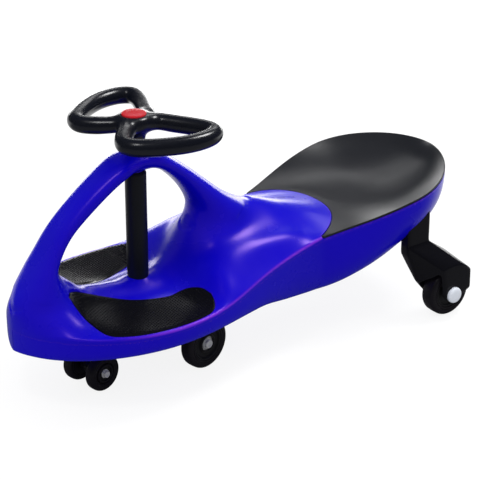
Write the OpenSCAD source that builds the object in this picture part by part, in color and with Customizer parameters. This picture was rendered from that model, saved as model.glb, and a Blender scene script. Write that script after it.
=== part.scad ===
// Wiggle car: a ride-on toy that a child drives by turning the steering wheel from side to side.
// +X is forward, +Y is the rider's left and +Z is up. The origin is on the ground under the middle.

/* [Body] */
// Length of the body from nose to tail
body_len = 746; // [720:1:780]
// Wall of the moulded shells
wall = 3; // [2:0.1:4]
// Half width of the body at the footrests
front_half_w = 141; // [132:1:150]
// Half width of the body at the waist, where the seat begins
waist_half_w = 97; // [88:1:104]
// Half width of the body at the widest part of the seat
seat_half_w = 129; // [120:1:136]
// Height of the edge line around the nose and the footrests
edge_front_z = 123; // [116:1:128]
// Height of the edge line at the waist
edge_waist_z = 167; // [160:1:172]
// Height of the seat rim at its widest part
rim_seat_z = 201; // [194:1:208]
// Height of the seat rim at the tail
rim_tail_z = 220; // [214:1:228]
// Length of the seat part of the body, from the tail to the waist
seat_len = 282; // [274:1:290]
// Distance of the widest part of the seat from the tail
seat_wide_len = 127; // [120:1:134]
// Height of the flat underside around the steering column
keel_front_z = 88; // [86:0.5:94]
// Drop of the underside from there to the nose
nose_drop = 1; // [0:0.5:6]
// Height of the belly under the seat
keel_belly_z = 75; // [66:1:82]
// Depth of the side strip on the upper shell, below the edge line
lip_h = 9; // [8:0.5:12]
// Gap of the parting line between the two shells
parting_gap = 0.4; // [0.2:0.1:0.8]

/* [Arch] */
// Height of the top of the arch
arch_top_z = 338; // [332:1:344]
// Thickness of the arch at its top
arch_top_t = 27; // [24:1:32]
// Half width of the arch at its top
arch_top_half_w = 31; // [28:1:36]
// Half width of the front leg at its slimmest
leg_half_w = 25; // [21:1:30]
// How square the arch is across its section, from an oval upwards
leg_power = 2.4; // [2:0.1:3]
// Height of the ridge of the floor inside the arch
floor_z = 143; // [140:1:147]
// Height of that ridge above the floor beside it, where the footrests are
ridge_h = 17; // [12:1:20]

/* [Steering] */
// Distance of the steering column behind the nose
column_back = 206; // [200:1:212]
// Angle that the front yoke stands at, to the left
steer_turn = 10.5; // [0:0.5:30]
// Angle that the steering wheel stands at, to the left
wheel_turn = 5; // [0:0.5:30]
// Diameter of the steering shaft
shaft_d = 16; // [14:0.5:18]
// Outer diameter of the sleeve around the shaft
sleeve_d = 30.7; // [28:0.1:33]
// Running clearance around a shaft or an axle, on the radius
run_gap = 0.3; // [0.2:0.05:0.5]
// Height of the steering wheel above the top of the arch, to the middle of its rim
rim_above = 34; // [30:1:40]
// Diameter of the steering wheel's rim
rim_d = 25; // [22:1:27]
// Distance of the grip loops ahead of the column, to the middle of the rim
grip_ahead = 53; // [48:1:57]
// Distance of the grip loops behind the column
grip_back = 66; // [60:1:70]
// Distance of the grip loops beside the column
grip_out = 105; // [98:1:110]
// Height of the top of the centre cap above the middle of the rim
cap_rise = 19; // [16:0.5:24]
// Diameter of the centre cap
cap_d = 35; // [31:1:39]

/* [Drive wheels] */
// Distance of the drive axle behind the column
drive_back = 57.4; // [50:0.2:64]
// Diameter of a drive wheel
drive_d = 77.8; // [72:0.2:80]
// Width of a drive wheel
drive_w = 20; // [17:0.5:23]
// Distance from the middle to the outer face of a drive wheel
drive_face_y = 83.6; // [78:0.2:86]
// Diameter of a drive axle bolt
bolt_d = 8; // [7:0.5:9]

/* [Front wheels] */
// Distance of the front axle ahead of the column
front_ahead = 95.2; // [88:0.2:98]
// Diameter of a front wheel
front_d = 54.6; // [50:0.2:58]
// Width of a front wheel
front_w = 16; // [13:0.5:18]
// Distance from the middle to the outer face of a front wheel
front_face_y = 31.4; // [30:0.2:36]
// Height of the front wheels above the ground
front_lift = 3.4; // [1:0.2:6]

/* [Rear wheels] */
// Distance of the rear axles ahead of the tail
rear_ahead = 75; // [68:1:81]
// Diameter of a rear wheel
rear_d = 75; // [70:0.5:78]
// Width of a rear wheel
rear_w = 24; // [20:0.5:26]
// Distance from the middle to the outer face of a rear wheel
rear_face_y = 150; // [146:0.5:154]
// Diameter of a rear axle
rear_axle_d = 10; // [9:0.5:12]
// Thickness of the plates of a rear bracket
plate_t = 5; // [4:0.5:6]
// Gap between a rear wheel and the plates beside it
side_gap = 3; // [2:0.5:4]
// Gap between a rear wheel and the hood over it
hood_gap = 6; // [4:0.5:8]
// Length of the stem of a rear bracket along the body
stem_len = 42; // [38:1:46]
// Thickness of the stem of a rear bracket across the body
stem_t = 20; // [16:1:22]
// Height of the top of the stem, inside the body
stem_top_z = 166; // [160:1:172]
// Distance from the middle of the stem to the rear axle
stem_ahead = 39; // [36:1:42]
// Diameter of the cap on the end of a rear axle
axle_cap_d = 25; // [21:1:29]
// Depth of that cap
axle_cap_h = 7; // [5:0.5:9]

/* [Seat and footrests] */
// Thickness of the seat moulding
seat_t = 3; // [2:0.2:4]
// Depth of the seat below its rim
seat_dish = 28; // [20:1:34]
// Length of the tongue of the deck that runs into the seat
tongue_len = 64; // [54:1:74]
// Thickness of a footrest pad
pad_t = 3; // [2.4:0.2:4]
// Height of a footrest pad above the shell
pad_proud = 1.5; // [0.8:0.1:2]
// Clearance around the seat and the pads in their recesses
seat_gap = 0.4; // [0.3:0.1:0.8]
// Clearance under the seat and the pads
bed_gap = 0.7; // [0.5:0.1:0.9]

/* [Hidden] */
SIDES = ["left", "right"];
PAIRS = [
    "footrest", "drive_tyre", "drive_hub", "drive_bearings", "drive_bolt", "front_wheel", "front_bearings",
    "rear_bracket", "rear_tyre", "rear_hub", "rear_axle", "axle_cap"
];
SINGLES = [
    "upper_shell", "lower_shell", "seat", "steering_wheel", "wheel_cap", "wheel_nut", "steering_shaft",
    "column_sleeve", "upper_bush", "floor_bush", "lower_bush", "thrust_washer", "front_yoke", "yoke_bolt",
    "front_axle", "bracket_pins", "body_screws"
];
$fn = 48;
blue = [0.02, 0.01, 0.68];
black = [0.07, 0.07, 0.09];
dark = [0.14, 0.14, 0.16];
steel = [0.75, 0.76, 0.78];
red = [0.8, 0.2, 0.12];
white = [0.92, 0.94, 0.98];

// Places along the body
nose_x = body_len / 2;
tail_x = -body_len / 2;
column_x = nose_x - column_back;
front_wide_x = column_x + 13;
waist_x = tail_x + seat_len;
seat_wide_x = tail_x + seat_wide_len;
tongue_tip_x = waist_x - tongue_len;
rear_x = tail_x + rear_ahead;
rim_z = arch_top_z + rim_above;
cap_top_z = rim_z + cap_rise;
foot_z = floor_z - ridge_h;

// A smooth line through points [place, value], level beyond its ends
function slope(p, i) =
    i == 0 || i == len(p) - 1 ? 0 :
    (p[i + 1][1] - p[i - 1][1]) / (p[i + 1][0] - p[i - 1][0]);
function span_of(p, x, i = 0) = i >= len(p) - 2 || x < p[i + 1][0] ? i : span_of(p, x, i + 1);
function hermite(p, i, h, t) =
    (2 * pow(t, 3) - 3 * t * t + 1) * p[i][1] + (pow(t, 3) - 2 * t * t + t) * h * slope(p, i)
    + (3 * t * t - 2 * pow(t, 3)) * p[i + 1][1] + (pow(t, 3) - t * t) * h * slope(p, i + 1);
function along(p, x) =
    let (i = span_of(p, x), h = p[i + 1][0] - p[i][0], t = min(1, max(0, (x - p[i][0]) / h)))
    hermite(p, i, h, t);
function ease(t) = (1 - cos(180 * t)) / 2;

// Half width of the body at its edge line: round nose, waist, wide seat and drawn-in tail
end_root = 0.62;
waist_power = 1.3;
function end_w(t) = pow(max(0, 1 - t * t), end_root);
function half_w(x) =
    x >= front_wide_x ? front_half_w * end_w((x - front_wide_x) / (nose_x - front_wide_x)) :
    x >= waist_x ? waist_half_w + (front_half_w - waist_half_w)
        * ease((x - waist_x) / (front_wide_x - waist_x)) :
    x >= seat_wide_x ? waist_half_w + (seat_half_w - waist_half_w)
        * pow(sin(90 * (waist_x - x) / (waist_x - seat_wide_x)), waist_power) :
    seat_half_w * end_w((seat_wide_x - x) / (seat_wide_x - tail_x));

// Heights along the body: edge line, underside, deck at its sides, and crest of the deck above that
edge_line = [
    [tail_x, rim_tail_z], [seat_wide_x - 75, rim_tail_z - 6], [seat_wide_x, rim_seat_z],
    [waist_x, edge_waist_z], [column_x - 146, edge_front_z + 24], [column_x - 64, edge_front_z + 5],
    [front_wide_x, edge_front_z], [nose_x, edge_front_z]
];
keel_line = [
    [tail_x, rim_tail_z - 26], [tail_x + 18, rim_tail_z - 68], [tail_x + 38, keel_belly_z + 50],
    [tail_x + 68, keel_belly_z + 34], [seat_wide_x + 11, keel_belly_z + 10], [waist_x - 34, keel_belly_z],
    [waist_x + 56, keel_belly_z + 4], [column_x - 140, keel_front_z], [column_x + 40, keel_front_z],
    [nose_x - 30, keel_front_z - nose_drop], [nose_x, keel_front_z - nose_drop + 1]
];
deck_line = [
    [tail_x, rim_tail_z - 1], [tail_x + 28, rim_tail_z - 19], [seat_wide_x - 19, rim_seat_z + 2 - seat_dish],
    [seat_wide_x + 51, rim_seat_z - 1 - seat_dish], [waist_x, edge_waist_z + 3],
    [waist_x + 56, edge_waist_z + 11], [column_x - 107, edge_waist_z + 11], [column_x - 72, floor_z + 17],
    [column_x - 40, foot_z + 7], [column_x, foot_z], [column_x + 40, foot_z + 1], [nose_x - 102, foot_z + 13],
    [nose_x - 70, foot_z + 16], [nose_x, foot_z + 16]
];
crest_line = [
    [seat_wide_x + 31, 0], [tongue_tip_x, 5], [waist_x, 21], [waist_x + 70, 37], [column_x - 142, 55],
    [column_x - 112, 62], [column_x - 87, 48], [column_x - 65, ridge_h + 3], [column_x - 40, ridge_h - 2],
    [column_x, ridge_h], [column_x + 68, ridge_h - 3], [nose_x - 102, ridge_h - 2], [nose_x - 78, 26],
    [nose_x - 57, 44], [nose_x - 38, 46], [nose_x - 18, 32], [nose_x, 18]
];
// How square the deck is at its sides, how wide its crest is, and how square the underside is
side_power = [
    [waist_x - 40, 2.4], [waist_x + 40, 5], [column_x - 90, 5], [column_x - 40, 1.5], [nose_x - 60, 1.6],
    [nose_x, 3]
];
crest_half_w = [
    [seat_wide_x + 31, 60], [waist_x + 70, 44], [column_x - 100, 36], [column_x - 40, 30],
    [column_x + 40, 27], [nose_x - 50, 36], [nose_x, 46]
];
keel_width_power = [
    [tail_x, 2.2], [seat_wide_x, 2.7], [waist_x - 74, 4], [waist_x - 14, 5.5], [waist_x + 56, 8],
    [column_x - 120, 13]
];
keel_depth_power = [
    [tail_x, 2.2], [seat_wide_x, 2.6], [waist_x - 74, 3.6], [waist_x - 14, 4], [column_x - 120, 5]
];
crest_fade = 6;

function deck_z(x, y) =
    let (edge = along(edge_line, x), s = min(1, abs(y) / max(1, half_w(x))))
    edge + (along(deck_line, x) - edge) * (1 - pow(s, along(side_power, x)))
    + along(crest_line, x) * exp(-pow(y / along(crest_half_w, x), 2)) * (1 - pow(s, crest_fade));

// A closed slab between two grids of points: rows run towards the nose, and each row from left to right.
// A vaulted slab has its first and last rows closed, so that its ends are walls and not openings.
function quad(a, b, c, d) = [[a, b, c], [a, c, d]];
module slab(top, bottom, vaulted = false) {
    last = len(top) - 1;
    edge = len(top[0]) - 1;
    under = len(top) * len(top[0]);
    function at(i, j) = i * (edge + 1) + j;
    points = [for (grid = [top, bottom], row = grid) each row];
    faces = [for (i = [0:last - 1], j = [0:edge - 1])
        let (a = at(i, j), b = at(i, j + 1), c = at(i + 1, j + 1), d = at(i + 1, j))
        each concat(quad(a, d, c, b), quad(a + under, b + under, c + under, d + under))];
    sides = [for (i = [0:last - 1])
        let (a = at(i, 0), b = at(i + 1, 0), c = at(i, edge), d = at(i + 1, edge))
        each concat(quad(a, a + under, b + under, b), quad(c, d, d + under, c + under))];
    ends = [for (j = [0:edge - 1])
        let (a = at(0, j), b = at(0, j + 1), c = at(last, j), d = at(last, j + 1))
        each concat(quad(a, b, b + under, a + under), quad(c, c + under, d + under, d))];
    walls = concat(
        [for (step = [0, under])
            each [[for (j = [0:edge]) at(0, step > 0 ? edge - j : j) + step],
                  [for (j = [0:edge]) at(last, step > 0 ? j : edge - j) + step]]],
        quad(at(0, 0), at(0, edge), at(0, edge) + under, under),
        quad(at(last, 0), at(last, 0) + under, at(last, edge) + under, at(last, edge))
    );
    polyhedron(points, concat(faces, sides, vaulted ? walls : ends));
}

// A solid form through convex rings of points
module ring_chain(rings)
    for (i = [0:len(rings) - 2]) hull() {
        points = concat(rings[i], rings[i + 1]);
        polyhedron(points, [for (j = [2:len(points) - 1]) [j - 2, j - 1, j]]);
    }

// Stations from tail to nose, closer together where the plan turns in
body_steps = 24;
end_skip = 0.02;
thin_w = 0.8;
function station(i, inset) =
    -cos(180 * (end_skip + (1 - 2 * end_skip) * i / body_steps)) / cos(180 * end_skip) * (nose_x - inset);
function inset_w(x, inset) = max(thin_w, half_w(min(nose_x - 1, max(tail_x + 1, x))) - inset);

// The deck of the upper shell with its side strips, thicker where the seat and the footrests are let in
across = 9;
seat_recess = seat_t + bed_gap;
pad_recess = pad_t - pad_proud + bed_gap;
deck_wall = [
    [waist_x, wall + seat_recess], [waist_x + 40, wall], [column_x - 104, wall],
    [column_x - 70, wall + pad_recess], [nose_x - 70, wall + pad_recess], [nose_x - 30, wall]
];
function deck_row(i, inset, fit) =
    let (x = station(i, 0), w = inset_w(x, inset + fit), low = along(edge_line, x) - lip_h)
    let (depth = inset > 0 ? along(deck_wall, x) : 0, xi = station(i, inset + fit))
    [
        [xi, w, low],
        for (j = [across:-1:-across])
            let (s = sin(90 * j / across)) [xi, w * s, deck_z(x, half_w(x) * s) - depth],
        [xi, -w, low]
    ];
module deck()
    slab(
        [for (i = [0:body_steps]) deck_row(i, 0, 0)],
        [for (i = [0:body_steps]) deck_row(i, wall, parting_gap)],
        vaulted = true
    );

// The arch over the steering column: [outer x and z, inner x and z, half width] from nose to deck
arch_stations = [
    [nose_x - 5, 158, nose_x - 84, 152, leg_half_w + 22],
    [nose_x - 26, 187, nose_x - 69, 183, leg_half_w + 12],
    [nose_x - 46, 214, nose_x - 66, 200, leg_half_w + 5],
    [nose_x - 69, 248, nose_x - 87, 236, leg_half_w + 1],
    [column_x + 105, 279, column_x + 87, 261, leg_half_w],
    [column_x + 65, arch_top_z - 29, column_x + 50, arch_top_z - 50, leg_half_w + 1],
    [column_x + 30, arch_top_z - 9, column_x + 22, arch_top_z - 33, arch_top_half_w - 2],
    [column_x, arch_top_z, column_x, arch_top_z - arch_top_t, arch_top_half_w],
    [column_x - 32, arch_top_z - 8, column_x - 25, arch_top_z - 32, arch_top_half_w],
    [column_x - 65, arch_top_z - 31, column_x - 50, arch_top_z - 50, arch_top_half_w - 2],
    [column_x - 96, 281, column_x - 74, 262, arch_top_half_w - 3],
    [column_x - 124, 256, column_x - 89, 236, arch_top_half_w - 1],
    [column_x - 152, 234, column_x - 95, 208, arch_top_half_w + 5],
    [column_x - 182, 216, column_x - 88, 180, arch_top_half_w + 15]
];
arch_steps = 22;
arch_sides = 16;
function arch_value(k, t) = along([for (i = [0:len(arch_stations) - 1]) [i, arch_stations[i][k]]], t);
function arch_at(i) = let (t = i * (len(arch_stations) - 1) / arch_steps) [for (k = [0:4]) arch_value(k, t)];
// One ring of the arch, thinned by the inset
function squared(v) = sign(v) * pow(abs(v), 2 / leg_power);
function arch_ring(i, inset) =
    let (a = arch_at(i), out = [(a[0] - a[2]) / 2, 0, (a[1] - a[3]) / 2], thin = 1 - inset / norm(out))
    [for (j = [0:arch_sides - 1])
        [(a[0] + a[2]) / 2, 0, (a[1] + a[3]) / 2] + out * thin * squared(cos(360 * j / arch_sides))
        + [0, (a[4] - inset) * squared(sin(360 * j / arch_sides)), 0]];
module arch_form(inset) ring_chain([for (i = [0:arch_steps]) arch_ring(i, inset)]);

// The form of the lower shell, with an open top for the inside
bilge_steps = 6;
function bilge(x, w, top, low, j) =
    let (t = 90 * ease(j / bilge_steps))
    [w * pow(cos(t), 2 / along(keel_width_power, x)),
     top - (top - low) * pow(sin(t), 2 / along(keel_depth_power, x))];
function lower_ring(i, inset) =
    let (x = station(i, 0), w = inset_w(x, inset))
    let (top = along(edge_line, x) - lip_h - parting_gap, low = along(keel_line, x) + inset)
    let (side = [for (j = [0:bilge_steps]) bilge(x, w, top, low, j)])
    let (half = inset > 0 ? concat([[w, top + 2 * wall]], side) : side, count = len(half))
    [for (j = [0:2 * count - 2])
        let (p = half[min(j, 2 * count - 2 - j)])
        [station(i, inset), (j < count ? 1 : -1) * p[0], p[1]]];
module lower_form(inset) ring_chain([for (i = [0:body_steps]) lower_ring(i, inset)]);

// Placing: on the steering column, turned with the steering, on one side, and along an axle
module on_column(z) translate([column_x, 0, z]) children();
module steered() on_column(0) rotate(steer_turn) children();
module on_side(side) mirror([0, side == "left" ? 0 : 1, 0]) children();
module both() for (side = SIDES) on_side(side) children();
module on_axle(x, z, y = 0) translate([x, y, z]) rotate([-90, 0, 0]) children();
module pole(d, z0, z1) translate([0, 0, z0]) cylinder(d = d, h = z1 - z0);
module tube(d, bore, z0, z1) difference() {
    pole(d, z0, z1);
    pole(bore, z0 - 1, z1 + 1);
}

// Clearance of parts that are fixed to each other, on the radius
fit_gap = 0.15;

// Seats of the column in the shells
boss_d = sleeve_d + 9;
bush_d = shaft_d + 8;
bush_flange_d = boss_d - 3;
bush_flange_t = 3;
boss_low_z = arch_top_z - arch_top_t - 15;
boss_high_z = arch_top_z + 2;
floor_boss_d = sleeve_d + 3;
floor_boss_z = floor_z + 4;
floor_boss_h = 26;
keel_boss_h = 20;

// Screws that hold the two shells together: [place, half spacing]
screw_places = [[nose_x - 70, 44], [column_x - 108, 76], [waist_x + 46, 66], [waist_x - 74, 38]];
screw_d = 5;
screw_post_d = 13;
screw_head_d = 10;
screw_head_h = 3;
screw_seat = 8;
screw_len = 24;
function screw_z(p) = along(keel_line, p[0]) + screw_seat;
function post_top(p) = min([for (dx = [-1, 1], dy = [-1, 1])
    deck_z(p[0] + dx * screw_post_d / 2, p[1] + dy * screw_post_d / 2)]) - 1;
module at_screws() for (p = screw_places, side = SIDES) on_side(side) translate([p[0], p[1], 0]) {
    $screw_z = screw_z(p);
    $post_top = post_top(p);
    children();
}

// Seat outline: from the left horn round the rim to the right horn, with the deck's tongue inside it
seat_rows = 26;
seat_cols = 5;
horn_inset = 4;
tongue_power = 2.4;
tongue_root = 0.8;
function rim_point(t, out) =
    let (x = waist_x - (waist_x - tail_x - 1) * sin(180 * t))
    [x - out * sin(180 * t), (t < 0.5 ? 1 : -1) * (half_w(x) + out)];
function tongue_point(t, gap) =
    let (c = cos(180 * t), back = pow(1 - pow(abs(c), tongue_power), tongue_root))
    [waist_x + gap - tongue_len * back, (waist_half_w - horn_inset - gap) * c];
function seat_point(i, j, gap, out) =
    let (t = i / seat_rows, a = tongue_point(t, gap), b = rim_point(t, out) + [gap, 0])
    let (p = a + (b - a) * j / seat_cols)
    [p[0], p[1], deck_z(p[0], p[1])];
function seat_grid(gap, out, rise) =
    [for (i = [0:seat_rows]) [for (j = [0:seat_cols]) seat_point(i, j, gap, out) + [0, 0, rise]]];
module seat_form(gap, out, above, below) slab(seat_grid(gap, out, above), seat_grid(gap, out, -below));

// Footrest outline on the left: inner and outer edge along the body
pad_rear_x = column_x - 56;
pad_front_x = nose_x - 73;
pad_inner = [
    [pad_rear_x, 101], [pad_rear_x + 2, 84], [pad_rear_x + 10, 66], [pad_rear_x + 21, 58],
    [column_x - 16, 57], [column_x + 7, 49], [column_x + 41, 36], [column_x + 74, 23],
    [pad_front_x - 25, 14], [pad_front_x - 9, 20], [pad_front_x, 31]
];
pad_outer = [
    [pad_rear_x, 103], [pad_rear_x + 2, 112], [pad_rear_x + 10, 125], [pad_rear_x + 26, front_half_w - 8],
    [column_x + 15, front_half_w - 5], [column_x + 68, front_half_w - 12],
    [column_x + 104, front_half_w - 27], [pad_front_x - 15, 99], [pad_front_x - 9, 72],
    [pad_front_x - 4, 43], [pad_front_x, 33]
];
pad_rows = 16;
pad_cols = 4;
function pad_point(i, j, gap) =
    let (t = ease(i / pad_rows), x = pad_rear_x + (pad_front_x - pad_rear_x) * t)
    let (a = along(pad_outer, x) + gap, b = along(pad_inner, x) - gap, y = a + (b - a) * j / pad_cols)
    let (spread = gap * (2 * t - 1))
    [x + spread, y, deck_z(x + spread, y)];
function pad_grid(gap, rise) =
    [for (i = [0:pad_rows]) [for (j = [0:pad_cols]) pad_point(i, j, gap) + [0, 0, rise]]];
module pad_form(gap, above, below) slab(pad_grid(gap, above), pad_grid(gap, -below));

// Rear bracket places, on the left side
rear_r = rear_d / 2;
plate_in_y = rear_face_y - rear_w - side_gap - plate_t;
plate_out_y = rear_face_y + side_gap;
stem_x = rear_x + stem_ahead;
stem_y = plate_in_y + 1 - stem_t;
stem_low_z = rear_r + 66;
hood_join_z = stem_low_z + 14;
socket_low_z = rear_r + 60;
pin_d = 6;
pin_z = stem_top_z - 12;
module stem_block(grow, z0, z1)
    translate([stem_x - stem_len / 2 - grow, stem_y - grow, z0])
        cube([stem_len + 2 * grow, stem_t + 2 * grow, z1 - z0]);
module at_pin() translate([stem_x, stem_y + stem_t / 2, pin_z]) rotate([0, 90, 0]) children();

module upper_shell() color(blue) difference() {
    union() {
        difference() {
            union() {
                deck();
                arch_form(0);
            }
            arch_form(wall);
        }
        on_column(0) pole(boss_d, boss_low_z, boss_high_z);
        on_column(0) pole(floor_boss_d, floor_boss_z - floor_boss_h, floor_boss_z);
        at_screws() pole(screw_post_d, $screw_z, $post_top, $fn = 20);
    }
    seat_form(seat_gap, 3, 40, seat_recess);
    both() pad_form(seat_gap, 10, pad_recess);
    on_column(0) pole(bush_d, floor_boss_z - 2 * floor_boss_h, 2 * arch_top_z);
    at_screws() pole(screw_d + 2 * fit_gap, $screw_z - 1, $screw_z + screw_len, $fn = 16);
}

module lower_shell() color(blue) difference() {
    union() {
        difference() {
            lower_form(0);
            lower_form(wall);
        }
        on_column(keel_front_z) pole(boss_d, 0, keel_boss_h);
        intersection() {
            lower_form(wall / 2);
            union() {
                both() stem_block(wall + seat_gap, socket_low_z, stem_top_z);
                at_screws() pole(screw_post_d, 0, $screw_z, $fn = 20);
            }
        }
    }
    on_column(keel_front_z) pole(bush_d, -10, 2 * keel_boss_h);
    both() stem_block(seat_gap, 0, stem_top_z + 1);
    both() at_pin() cylinder(d = pin_d + 2 * fit_gap, h = 2 * stem_len, center = true, $fn = 20);
    at_screws() {
        pole(screw_d + 2 * fit_gap, 0, $screw_z + 1, $fn = 16);
        pole(screw_head_d + 2 * fit_gap, 0, $screw_z - wall, $fn = 20);
    }
}

module seat() color(black) seat_form(0, 0, 0, seat_t);

module footrest(side) color(black) on_side(side) pad_form(0, pad_proud, pad_t - pad_proud);

// A closed level loop of round tube
function unit(v) = v / norm(v);
function tube_ring(loop, i, r, sides) =
    let (n = len(loop), ahead = unit(loop[(i + 1) % n] - loop[(i + n - 1) % n]))
    let (out = cross(ahead, [0, 0, 1]))
    [for (j = [0:sides - 1]) loop[i] + r * (out * cos(360 * j / sides) + [0, 0, sin(360 * j / sides)])];
module loop_tube(loop, d, sides) {
    n = len(loop);
    points = [for (i = [0:n - 1]) each tube_ring(loop, i, d / 2, sides)];
    faces = [for (i = [0:n - 1], j = [0:sides - 1])
        let (a = i * sides + j, b = i * sides + (j + 1) % sides)
        let (c = ((i + 1) % n) * sides + j, d = ((i + 1) % n) * sides + (j + 1) % sides)
        each quad(a, b, d, c)];
    polyhedron(points, faces);
}

// Steering wheel: two grip loops, swept back from the hub. The line of the left one is given as
// [forward, outward] points, from the front of the hub round to its back.
grip_steps = 30;
grip_sides = 12;
grip_line = [
    [grip_ahead * 0.3, grip_out * 0.07], [grip_ahead * 0.98, grip_out * 0.4], [grip_ahead, grip_out * 0.6],
    [grip_ahead * 0.72, grip_out * 0.74], [grip_ahead * 0.23, grip_out * 0.9], [-grip_back * 0.27, grip_out],
    [-grip_back * 0.73, grip_out], [-grip_back, grip_out * 0.9], [-grip_back, grip_out * 0.72],
    [-grip_back * 0.76, grip_out * 0.41], [-grip_back * 0.44, grip_out * 0.09]
];
wheel_hub_d = cap_d + 13;
wheel_hub_z = rim_z - 6;
wheel_hub_top = cap_top_z - 2;
wheel_post_d = shaft_d + 16;
wheel_post_z = boss_high_z + bush_flange_t + run_gap;
cap_seat_z = cap_top_z - 12;
cap_wall = 2.4;
stud_d = 10;
nut_across = 19;
nut_h = 7;
function grip_value(k, t) = along([for (i = [0:len(grip_line) - 1]) [i, grip_line[i][k]]], t);
function grip_point(i) =
    let (t = i * (len(grip_line) - 1) / grip_steps) [grip_value(0, t), grip_value(1, t), rim_z];

module steering_wheel() color(black) on_column(0) rotate(wheel_turn) difference() {
    union() {
        both() loop_tube([for (i = [0:grip_steps]) grip_point(i)], rim_d, grip_sides);
        pole(wheel_hub_d, wheel_hub_z, wheel_hub_top);
        pole(wheel_post_d, wheel_post_z, rim_z);
    }
    pole(shaft_d + 2 * fit_gap, wheel_post_z - 1, cap_top_z);
    pole(cap_d + 2 * fit_gap, cap_seat_z, cap_top_z);
}

module wheel_cap() color(red) steered() rotate_extrude() difference() {
    polygon([
        [0, cap_seat_z], [cap_d / 2, cap_seat_z], [cap_d / 2, cap_top_z - 1], [cap_d / 2 - 1, cap_top_z],
        [0, cap_top_z]
    ]);
    square([2 * (cap_d / 2 - cap_wall), 2 * (cap_top_z - cap_wall)], center = true);
}

module wheel_nut() color(steel) steered() difference() {
    translate([0, 0, cap_seat_z]) cylinder(d = nut_across, h = nut_h, $fn = 6);
    pole(stud_d + 2 * fit_gap, cap_seat_z - 1, cap_top_z);
}

// Front yoke: carries the shaft, the drive bolts and the front axle
drive_r = drive_d / 2;
front_r = front_d / 2;
front_z = front_lift + front_r;
washer_t = 2.4;
yoke_top_z = keel_front_z - bush_flange_t - run_gap - washer_t;
yoke_boss_d = 46;
yoke_low_z = 50;
shaft_low_z = yoke_low_z + 6;
cross_d = 6;
cross_z = 68;
cross_seat_y = yoke_boss_d / 2 - 3;
cross_head_d = 12;
cross_head_h = 4;
beam_d = 28;
spine_low_r = 13;
beam_end_y = drive_face_y - drive_w - 1.5;
front_boss_d = 22;
front_boss_y = front_face_y - front_w - 1.5;
spine_t = 24;

module steering_shaft() color(steel) steered() difference() {
    union() {
        pole(shaft_d, shaft_low_z, cap_seat_z - 0.5);
        pole(stud_d, cap_seat_z - 1, cap_seat_z + nut_h + 1);
    }
    on_axle(0, cross_z) cylinder(d = cross_d + 2 * fit_gap, h = 2 * shaft_d, center = true);
}

module column_sleeve() color(black) on_column(0)
    tube(sleeve_d, sleeve_d - 2 * wall, floor_boss_z, boss_low_z);

module bush(z0, z1, flange_z) color(dark) on_column(0) difference() {
    union() {
        pole(bush_d - 2 * fit_gap, z0, z1);
        pole(bush_flange_d, flange_z, flange_z + bush_flange_t);
    }
    pole(shaft_d + 2 * run_gap, z0 - 1, z1 + 1);
}
module upper_bush() bush(boss_low_z, boss_high_z + bush_flange_t, boss_high_z);
module lower_bush()
    bush(keel_front_z - bush_flange_t, keel_front_z + keel_boss_h, keel_front_z - bush_flange_t);
module floor_bush() color(dark) on_column(0)
    tube(bush_d - 2 * fit_gap, shaft_d + 2 * run_gap, floor_boss_z - floor_boss_h, floor_boss_z);

module thrust_washer() color(steel) on_column(0)
    tube(bush_flange_d, shaft_d + 2 * run_gap, yoke_top_z, yoke_top_z + washer_t);

module spine() rotate([90, 0, 0]) linear_extrude(spine_t, center = true) {
    for (end = [[-drive_back, drive_r, beam_d - 5], [front_ahead, front_z, front_boss_d - 5]]) hull() {
        translate([end[0], end[1]]) circle(d = end[2], $fn = 32);
        translate([0, yoke_low_z + 2 + spine_low_r]) circle(r = spine_low_r, $fn = 32);
    }
}
module front_yoke() color(dark) steered() difference() {
    union() {
        pole(yoke_boss_d, yoke_low_z, yoke_top_z);
        spine();
        on_axle(-drive_back, drive_r) cylinder(d = beam_d, h = 2 * beam_end_y, center = true);
        on_axle(front_ahead, front_z) cylinder(d = front_boss_d, h = 2 * front_boss_y, center = true);
    }
    pole(shaft_d + 2 * fit_gap, shaft_low_z, yoke_top_z + 1);
    on_axle(0, cross_z) cylinder(d = cross_d + 2 * fit_gap, h = 2 * yoke_boss_d, center = true);
    both() on_axle(0, cross_z, cross_seat_y) pole(cross_head_d + 2, 0, yoke_boss_d);
    both() on_axle(-drive_back, drive_r) pole(bolt_d + 2 * fit_gap, beam_end_y - bolt_grip, beam_end_y + 1);
    on_axle(front_ahead, front_z) cylinder(d = bolt_d + 2 * fit_gap, h = 4 * front_boss_y, center = true);
}

module yoke_bolt() color(steel) steered() {
    on_axle(0, cross_z) cylinder(d = cross_d, h = 2 * cross_seat_y + 2, center = true);
    both() on_axle(0, cross_z, cross_seat_y) cylinder(d = cross_head_d, h = cross_head_h, $fn = 6);
}

// Wheels: a tyre on a hub with a bearing seat in each face
tyre_edge = 4;
bolt_grip = 32;
bolt_head_d = 14;
bolt_head_h = 4.5;
bolt_washer_d = 17;
bolt_washer_t = 1.5;
bearing_d = 22;
drive_bearing_w = 6;
front_bearing_w = 5;
inner_recess = 1;
drive_recess = 4;
front_recess = 3;
hub_lip = 2.5;
hub_dish = 3;
drive_core_d = 52;
rear_core_d = 48;
module tyre_profile(r, core_r, w)
    polygon([
        [core_r, 0], [r - tyre_edge, 0], [r - tyre_edge / 3, tyre_edge / 3], [r, tyre_edge],
        [r, w - tyre_edge], [r - tyre_edge / 3, w - tyre_edge / 3], [r - tyre_edge, w], [core_r, w]
    ]);
module hub_profile(core_r, bore_r, w) difference() {
    translate([bore_r, 0]) square([core_r - bore_r, w]);
    for (y = [-1, w - hub_dish])
        translate([bearing_d / 2 + hub_lip, y]) square([core_r - bearing_d / 2 - 2 * hub_lip, hub_dish + 1]);
}
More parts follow.
